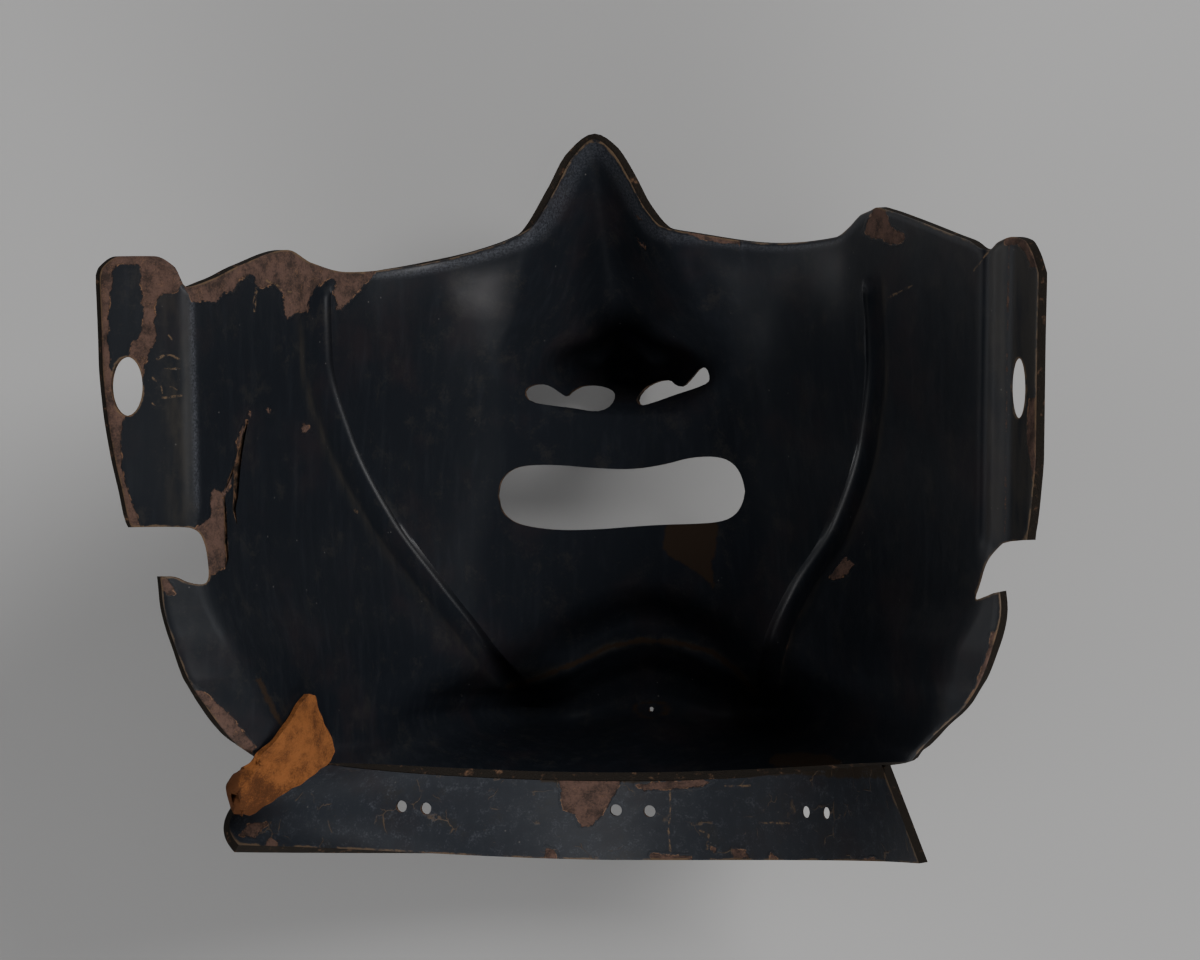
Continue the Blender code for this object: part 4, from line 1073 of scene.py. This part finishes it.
class FaceShell(Piece):
    """The moulded shell with its openings, cracks and losses."""

    name = "shell"
    node = "face_shell"
    slot = "black_lacquer"
    flange_columns = 30
    bend_columns = 8
    cheek_columns = 24
    ridge_columns = 22
    middle_columns = 56
    row_splits = 4
    rim_splits = 30
    edge_steps = (0.0, 0.05, 0.18, 0.42, 0.75, 1.15, 1.6)
    edge_drop = 0.85
    outer_edge_share = 0.35
    seam_fade = 0.2
    mouth_middle = (0.009, 0.438)
    mouth_size = (0.05, 0.0145)
    nostril_middles = ((Side.LEFT, (-0.146, 0.594)), (Side.RIGHT, (0.13, 0.606)))
    nostril_size = (0.0165, 0.0062)
    drain_place = (0.062, 0.091)
    drain_width = 0.001
    ear_hole = (0.0055, 0.0112)
    ear_holes = ((-1.132, 0.602), (1.1, 0.597))
    open_to_edge = 4
    crack_depth = 0.0013
    marks = ShellMarks()

    def columns(self, level: float) -> np.ndarray:
        """Give the places across the face of one row's points."""
        form, sizes = self.form, self.sizes
        rise = np.array([level])
        guides = {name: float(form.guide(name, rise)[0]) for name in GUIDES}
        coarse = []
        for side, sign in ((Side.LEFT, 1), (Side.RIGHT, -1)):
            bend, ridge = guides[side.value + "_bend"], guides[side.value + "_ridge"]
            edge = bend - sign * float(form.flange_width(side, rise)[0])
            inner = bend + sign * sizes.bend_reach
            outer_ridge = ridge - sign * sizes.ridge_half_width
            inner_ridge = ridge + sign * sizes.ridge_half_width
            half = list(edge + sign * np.array(self.edge_steps[:-1]) * MM)
            half += list(np.linspace(edge + sign * self.edge_steps[-1] * MM, bend, self.flange_columns)[:-1])
            half += list(np.linspace(bend, inner, self.bend_columns)[:-1])
            half += list(np.linspace(inner, outer_ridge, self.cheek_columns)[:-1])
            half += list(np.linspace(outer_ridge, inner_ridge, self.ridge_columns)[:-1])
            half += list(np.linspace(inner_ridge, guides["middle"], self.middle_columns)[:-1])
            coarse.append(half)
        return np.array(coarse[0] + [guides["middle"]] + coarse[1][::-1])

    def points(self) -> np.ndarray:
        """Give the inner wall as a grid of points in mask coordinates."""
        form, sizes = self.form, self.sizes
        steps = (len(LEVELS) - 1) * self.row_splits + 1
        levels = np.interp(np.linspace(0, len(LEVELS) - 1, steps), range(len(LEVELS)), LEVELS)
        rows = []
        for level in levels:
            x = self.columns(level)
            rows.append((x, level * sizes.height + form.seam(x) * (1 - ease(level / self.seam_fade))))
        base_y = rows[-1][1]
        for share in np.linspace(0, 1, self.rim_splits + 1)[1:]:
            x = self.columns(LEVELS[-1] + (TOP_LEVEL - LEVELS[-1]) * share)
            top = form.rim(x) - self.edge_steps[-1] * MM
            rows.append((x, base_y + (top - base_y) * share))
        x = rows[-1][0]
        for step in self.edge_steps[-2::-1]:
            rows.append((x, form.rim(x) - step * MM))
        x = np.array([row[0] for row in rows])
        y = np.array([row[1] for row in rows])
        return np.stack([x, y, form.height(x, y)], axis=-1)

    def roll(self, shape: tuple[int, int]) -> np.ndarray:
        """Give how far the free edges are rounded down, in millimetres."""
        reach = self.edge_steps[-1]
        away = np.full(shape, reach)
        steps = np.array(self.edge_steps)
        away[:, :len(steps)] = steps
        away[:, -len(steps):] = steps[::-1]
        away[-len(steps):] = np.minimum(away[-len(steps):], steps[::-1, None])
        return self.edge_drop * (1 - np.sqrt(1 - (1 - away / reach) ** 2))

    def place(self, side: float, rise: float) -> tuple[float, float]:
        """Turn shares of the half width and the height into metres."""
        return side * self.sizes.half_width, rise * self.sizes.height

    def openings(self) -> list[Outline]:
        """Give the outlines of everything cut through the wall."""
        lips = list(zip(MOUTH_SIDES, MOUTH_LOWER)) + list(zip(MOUTH_SIDES, MOUTH_UPPER))[::-1]
        found = [self.smooth(self.spread_out(lips, self.mouth_middle, self.mouth_size))]
        for side, middle in self.nostril_middles:
            found.append(self.smooth(self.spread_out(NOSTRILS[side], middle, self.nostril_size), 1))
        found.append(oval(self.place(*self.drain_place), self.drain_width, self.drain_width, 24))
        width, height = self.ear_hole
        for middle, lean in zip(self.ear_holes, (0.0, self.sizes.ear_angle[1])):
            found.append(oval(self.place(*middle), width * math.cos(lean), height, 40))
        return found + [self.smooth([self.place(*corner) for corner in notch]) for notch in NOTCHES]

    def spread_out(self, shares: Outline, middle: tuple[float, float], size: tuple[float, float]) -> Outline:
        """Turn shares of a size about a middle into an outline in metres."""
        x, y = self.place(*middle)
        return [(x + u * size[0], y + v * size[1]) for u, v in shares]

    @staticmethod
    def smooth(outline: Outline, rounds: int = 2) -> Outline:
        """Round an outline's corners by cutting each in turn."""
        points = np.array(outline)
        for _ in range(rounds):
            ahead = np.roll(points, -1, axis=0)
            cuts = [points * 0.75 + ahead * 0.25, points * 0.25 + ahead * 0.75]
            points = np.stack(cuts, axis=1).reshape(-1, 2)
        return [tuple(point) for point in points]

    def build(self, finishes: dict[str, bpy.types.Material]) -> None:
        """Mould, cut and paint the shell."""
        points = self.points()
        self.sheet(points)
        self.paint([finishes["inner"], finishes["outer"], finishes["rim"], finishes["hide"]])
        self.apply("SOLIDIFY", thickness=self.sizes.wall, offset=-1, material_offset=1, material_offset_rim=2)
        roll = self.roll(points.shape[:2]).ravel() * MM
        relief = self.form.relief(points[..., 0], points[..., 1]).ravel()
        self.shift_heights(np.concatenate([relief - roll, roll * self.outer_edge_share]))
        cutters = [prism(outline, self.ground) for outline in self.openings()]
        for line, widths in CRACKS:
            outline = [(x * MM, y * MM) for x, y in ribbon(line, widths)]
            flat = np.array(outline)
            bottom = self.form.height(flat[:, 0], flat[:, 1]) - self.crack_depth
            cutters.append(prism(outline, self.ground, bottom))
        self.cut(cutters, finishes["hide"])
        self.weather()
        self.finish()

    def weather(self) -> None:
        """Store where lacquer is lost, stained, worn and dusty, and where highlight and sheen are painted."""
        marks = self.marks
        x, y = self.mask_points().T
        loss = np.maximum(nearest_outline(x, y, SHELL_LOSSES), -outline_distance(x, y, EAR_ISLAND))
        loss = np.where(self.on_outer_side(), np.maximum(loss, marks.plain_loss), loss)
        self.carry("loss", np.clip(loss, -FAR, FAR))
        to_crest = line_distance(x, y, CREST_LINE)
        stain = np.minimum(to_crest - marks.crest_stain, nearest_outline(x, y, SHELL_STAINS))
        drain = np.hypot((x - marks.drain_middle[0]) / marks.drain_radii[0],
                         (y - marks.drain_middle[1]) / marks.drain_radii[1])
        stain = np.minimum(stain, abs(drain - 1) * marks.drain_band[0] - marks.drain_band[1])
        self.carry("stain", np.clip(stain, -FAR, FAR))
        rise = y * MM / self.sizes.height
        wear, groove, shoulder = np.zeros((3, *x.shape))
        along = ramp(rise, *marks.ridge_ends[0]) * ramp(rise, *marks.ridge_ends[1])
        rubbed = ramp(rise, *marks.rubbed_ends[0]) * ramp(rise, *marks.rubbed_ends[1])
        for sign, name in ((-1, "left_ridge"), (1, "right_ridge")):
            away = self.form.ridge_away(x * MM, rise, name) / MM * sign
            wear = np.maximum(wear, bell(away, *marks.rubbed_crest) * rubbed)
            groove = np.maximum(groove, (1 - ramp(np.abs(away - marks.groove_middle), *marks.groove)) * along)
            shoulder = np.maximum(shoulder, bell(away, *marks.shoulder) * along)
        before = self.form.guide("left_bend", rise) / MM - x
        past = x - self.form.guide("right_bend", rise) / MM
        on_ear = ramp(y, *marks.on_ear)
        self.carry("wear", np.maximum(wear * 0.6, bell(past, *marks.bead) * on_ear * 0.56))
        reach = read_table(MATT_RISES, MATT_REACHES, y)
        middle = (1 - ramp(np.abs(x - marks.face_middle), reach, marks.matt_fade)) * ramp(y, *marks.matt_low)
        seam = bell(past, *marks.seam) * on_ear
        left_flange = ramp(before, *marks.left_flange[0]) * ramp(y, *marks.left_flange[1]) * 0.72
        self.carry("matt", np.maximum.reduce([middle, groove, seam, left_flange]))
        # dust with painted highlight along the rim, and painted highlight on the left bend
        self.carry("dust_and_sheen", self.dust_and_sheen_amount(x, y))
        # olive tone: painted sheen in the left ear channel, wear with painted highlight on the chin crest,
        # olive on the right ear flange and its channel, worn brown on the ridges' outer shoulders
        left_channel = bell(before, *marks.left_channel) * ramp(y, *marks.left_channel_low)
        left_channel = left_channel * ramp(y, *marks.ear_top) * 0.55
        crest = bell(to_crest, 0.0, marks.crest_width) * 0.55
        outer = ramp(past, *marks.outer_ear) * on_ear * 0.42
        channel = ramp(past, *marks.right_channel[0]) * ramp(past, *marks.right_channel[1]) * on_ear * 0.3
        self.carry("olive_wear_and_sheen", np.maximum.reduce([left_channel, crest, outer, channel, shoulder * 0.42]))
        self.carry("border", self.border_distance(x, y))

    def border_distance(self, x: np.ndarray, y: np.ndarray) -> np.ndarray:
        """Give the distance in millimetres to the nearest free edge."""
        grid = self.points()[..., :2] / MM
        away = line_distance(x, y, np.concatenate([grid[::3, 0], grid[-1, ::3], grid[::-3, -1]]))
        for outline in self.openings()[self.open_to_edge:]:
            ring = [(a / MM, b / MM) for a, b in outline]
            away = np.minimum(away, np.abs(outline_distance(x, y, ring)))
        return np.clip(away, 0, self.border_limit)

    def dust_and_sheen_amount(self, x: np.ndarray, y: np.ndarray) -> np.ndarray:
        """Give dust and painted highlight: a rim band, broad by the nose, and a line on the left bend."""
        across = np.linspace(-1.0, 0.99, 160) * self.sizes.half_width
        rim = [(float(a) / MM, float(b) / MM) for a, b in zip(across, self.form.rim(across))]
        away = line_distance(x, y, rim)
        reach = read_table(DUST_AND_SHEEN_SIDES, DUST_AND_SHEEN_REACHES, x)
        start, fade, edge = self.marks.rim_band
        # the rim band is dust and painted highlight in one
        band = (1 - ramp(away, reach * start, reach * fade)) * ramp(away, *edge)
        bend = self.form.guide("left_bend", y * MM / self.sizes.height) / MM
        # painted highlight along the left bend
        shine = bell(x - bend, *self.marks.bend_shine) * ramp(y, *self.marks.bend_shine_low)
        shine = shine * ramp(y, *self.marks.ear_top) * 0.85
        return np.maximum(band * read_table(DUST_AND_SHEEN_SIDES, DUST_AND_SHEEN_AMOUNTS, x), shine)


class NeckFlange(Piece):
    """The flared strip under the chin, with its lacing holes."""

    name = "neck_strip"
    node = "neck_flange"
    slot = "neck_lacquer"
    width = 0.018
    drop = 0.006
    end_rise = 0.012
    spread = 0.1
    skews = (0.011, 0.0025)
    lifts = (0.0055, 0.0025)
    ends = (-0.675, 0.715)
    hole = 0.0024
    holes = ((-0.545, 0.36, 0.83), (-0.485, 0.39, 0.83), (0.002, 0.43, 1.0), (0.091, 0.44, 1.0),
             (0.515, 0.41, 0.6), (0.571, 0.41, 0.55))
    bulge = 0.0085
    lap = (0.0019, 0.0011)
    seam_step = 0.0004
    column_count = 300
    row_count = 60

    def points(self) -> np.ndarray:
        """Give the flange's upper face as a grid of points in mask coordinates."""
        form, sizes = self.form, self.sizes
        x = np.linspace(self.ends[0], self.ends[1], self.column_count) * sizes.half_width
        seam_y = form.seam(x)
        behind = np.stack([np.stack([x, seam_y + step, form.height(x, seam_y + step)], axis=-1)
                           for step in (0.0, self.seam_step)])
        normal = grid_normals(behind)[0]
        share = np.linspace(-1, 1, self.column_count)
        lap = self.lap[0] + (self.lap[1] - self.lap[0]) * ramp(share, 0.2, 0.5)
        root = behind[0] - normal * lap[:, None]
        edge = root.copy()
        edge[:, 0] += self.spread * x + np.where(share < 0, self.skews[0], self.skews[1]) * share ** 3
        edge[:, 1] = np.where(share < 0, self.lifts[0], self.lifts[1]) * share ** 2 - self.width
        edge[:, 2] += (self.drop + self.end_rise) * share ** 2 - self.drop
        rows = []
        for way in np.linspace(0, 1, self.row_count):
            row = edge + (root - edge) * way
            row[:, 0] -= self.bulge * np.maximum(-share, 0) ** 3 * 4 * way * (1 - way)
            rows.append(row)
        return np.array(rows)

    def build(self, finishes: dict[str, bpy.types.Material]) -> None:
        """Form, drill and paint the flange."""
        points = self.points()
        self.sheet(points)
        self.paint([finishes["neck"], finishes["outer"], finishes["rim"], finishes["hide"]])
        self.apply("SOLIDIFY", thickness=self.sizes.wall, offset=-1, material_offset=1, material_offset_rim=2)
        cutters = []
        for side, drop, across in self.holes:
            middle = (side * self.sizes.half_width, -drop * self.width)
            cutters.append(prism(oval(middle, self.hole * across, self.hole, 24), self.ground))
        self.cut(cutters, finishes["hide"])
        self.weather()
        self.finish()

    def weather(self) -> None:
        """Store where lacquer is lost and stained."""
        x, y = self.mask_points().T
        self.carry("loss", nearest_outline(x, y, NECK_LOSSES))
        self.carry("stain", nearest_outline(x, y, NECK_STAINS))
        for name in ("wear", "dust_and_sheen", "olive_wear_and_sheen", "matt"):
            self.carry(name, np.zeros(x.shape))
        grid = self.points()[..., :2] / MM
        away = line_distance(x, y, np.concatenate([grid[::-3, 0], grid[0, ::3], grid[::3, -1]]))
        self.carry("border", np.clip(away, 0, self.border_limit))


class LeatherTab(Piece):
    """The scrap of leather on the corner of the jaw, with its outer side rolled over."""

    name = "leather_scrap"
    node = "leather_tab"
    slot = "tan_leather"
    start = (-0.745, 0.133)
    heading = math.radians(244)
    length = 0.025
    width = 0.012
    borders = ((0.0, 0.1, 0.2, 0.3, 0.4, 0.5, 0.6, 0.72, 0.82, 0.92, 1.0),
               (0.02, 0.01, 0.01, 0.0, -0.05, -0.13, -0.17, -0.3, -0.33, -0.22, -0.12),
               (0.08, 0.26, 0.45, 0.67, 0.73, 0.66, 0.56, 0.42, 0.29, 0.18, 0.1))
    droop = 0.3
    curl_radius = 0.0022
    curl_turn = math.radians(170)
    curl_columns = 26
    thickness = 0.0011
    lift = 0.0005
    softening = 12
    row_count = 120
    column_count = 70
    curl_start = (0.48, 0.2)
    flat_curl_share = 0.08
    fray = ((0.014, 61, 0), (0.011, 97, 1), (0.008, 173, 0))
    swell = 0.00022

    def height(self, place: np.ndarray) -> np.ndarray:
        """Give the height of the wall under the tab, and of the tab where it hangs past the seam."""
        seam = self.form.seam(place[:, 0])
        wall = self.form.height(place[:, 0], np.maximum(place[:, 1], seam))
        return wall - self.droop * np.maximum(seam - place[:, 1], 0)

    def curl(self, border: np.ndarray, inward: np.ndarray, share: float) -> list[np.ndarray]:
        """Give the points of the left border, which rolls up towards the low end.

        Args:
            border: The last flat point.
            inward: The point before it.
            share: How far down the tab it lies.

        Returns:
            The points, from the end of the roll to the border.
        """
        curled = float(ramp(np.array(share), *self.curl_start))
        rolled = self.flat_curl_share + (1 - self.flat_curl_share) * curled
        length = self.curl_radius * self.curl_turn * rolled / self.curl_columns
        outward = (border - inward) / np.linalg.norm(border - inward)
        upward = np.array([0.0, 0.0, 1.0]) - outward * outward[2]
        upward /= np.linalg.norm(upward)
        points, point = [], border
        for column in range(self.curl_columns):
            turn = self.curl_turn * curled * (column + 0.5) / self.curl_columns
            point = point + length * (outward * math.cos(turn) + upward * math.sin(turn))
            points.append(point)
        return points[::-1]

    def points(self) -> np.ndarray:
        """Give the sheet that the tab follows, from its tip on the wall to its low end."""
        start = np.array(self.start) * np.array((self.sizes.half_width, self.sizes.height))
        heading = np.array([math.cos(self.heading), math.sin(self.heading)])
        across = np.array([-heading[1], heading[0]])
        along, lefts, rights = self.borders
        rows = []
        for share in np.linspace(0, 1, self.row_count):
            fray = sum(size * math.sin(share * pace + start) for size, pace, start in self.fray)
            left = read_table(along, lefts, np.array([share]))
            right = read_table(along, rights, np.array([share])) + fray
            reach = left + (right - left) * np.linspace(0, 1, self.column_count)
            place = start + heading * self.length * share + reach[:, None] * self.width * across
            row = np.column_stack([place, self.height(place)])
            rows.append(np.concatenate([self.curl(row[0], row[1], share), row]))
        grid = np.array(rows)
        for _ in range(self.softening):
            grid[1:-1] = grid[1:-1] * 0.5 + (grid[:-2] + grid[2:]) * 0.25
        return grid

    def build(self, finishes: dict[str, bpy.types.Material]) -> None:
        """Lay the tab over the corner of the jaw."""
        flat = self.points()
        normals = -grid_normals(flat)
        x, y = flat[..., 0] / MM, flat[..., 1] / MM
        swell = self.swell * np.sin(x * 0.9 + y * 0.4) * np.sin(y * 0.7 - x * 0.3)
        self.sheet(flat + normals * (self.lift + self.thickness + swell[..., None]))
        self.paint([finishes["suede"]])
        self.apply("SOLIDIFY", thickness=self.thickness, offset=1)
        x, y = self.mask_points().T
        # darker towards the left and the low end of the tab
        self.carry("left_low_darkening", np.maximum(ramp(x, -65.5, -2.5), 0.6 * ramp(y, 3.0, -8) * ramp(x, -57, -6)))
        self.finish()


@dataclass(frozen=True)
class Studio:
    """The backdrop, the lamps and the camera."""

    camera_place: Triple = (0.12556, 0.00375, 1.24343)
    camera_tilt: float = 6.0
    lens: float = 181.8
    floor_size: float = 6.0
    lamps: tuple[tuple[str, Triple, float, float], ...] = (
        ("key", (1.02, 0.8, 1.15), 0.9, 21.5),
        ("fill", (-1.15, 0.55, 1.05), 0.9, 1.8),
        ("left", (-1.5, 0.3, 0.42), 0.7, 2.8),
        ("low", (0.25, -1.4, 0.62), 0.7, 14.0),
        ("side", (-1.2, -0.6, 0.8), 0.7, 1.8),
        ("over", (0.3, 0.25, 1.75), 1.0, 1.3),
    )
    sky: Triple = (0.122, 0.124, 0.13)
    aim: Triple = (0.0, 0.0, 0.05)
    sensor_width: float = 36
    clip_end: float = 50

    def build(self) -> None:
        """Set up the stage."""
        bpy.ops.object.select_all(action="DESELECT")
        bpy.ops.mesh.primitive_plane_add(size=self.floor_size)
        floor = bpy.context.object
        floor.name = "floor"
        floor.data.materials.append(Paper().make())
        for name, place, size, power in self.lamps:
            bpy.ops.object.light_add(type="AREA", location=place)
            lamp = bpy.context.object
            lamp.name = name
            lamp.data.shape = "DISK"
            lamp.data.size = size
            lamp.data.energy = power
            aim = np.array(self.aim) - np.array(place)
            lamp.rotation_euler = (math.acos(-aim[2] / np.linalg.norm(aim)), 0,
                                   math.atan2(aim[1], aim[0]) - math.pi / 2)
        world = bpy.data.worlds.new("studio")
        world.use_nodes = True
        world.node_tree.nodes["Background"].inputs["Color"].default_value = (*self.sky, 1)
        bpy.context.scene.world = world
        bpy.ops.object.camera_add(location=self.camera_place, rotation=(0, math.radians(self.camera_tilt), 0))
        camera = bpy.context.object
        camera.data.lens = self.lens
        camera.data.sensor_width = self.sensor_width
        camera.data.clip_end = self.clip_end
        bpy.context.scene.camera = camera


def main() -> None:
    """Dress the frame."""
    logging.basicConfig(level=logging.INFO, format="%(name)s %(message)s")
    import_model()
    sizes = MaskSizes()
    finishes = {
        "inner": Lacquer(name="inner_lacquer", lines=LIGHT_LINES).make(),
        "outer": Lacquer(name="outer_lacquer").make(),
        "neck": Lacquer(name="neck_lacquer", colour=(0.0165, 0.019, 0.0245), stain=(0.026, 0.019, 0.013),
                        lines=NECK_LINES, roughness=0.5, gloss=0.16, crackle=1.0).make(),
        "rim": Hide(name="rim_hide", share=0.34).make(),
        "hide": Hide(name="cut_hide", share=0.5).make(),
        "suede": Suede().make(),
    }
    FaceShell(sizes).build(finishes)
    NeckFlange(sizes).build(finishes)
    LeatherTab(sizes).build(finishes)
    Studio().build()


if __name__ == "__main__":
    main()
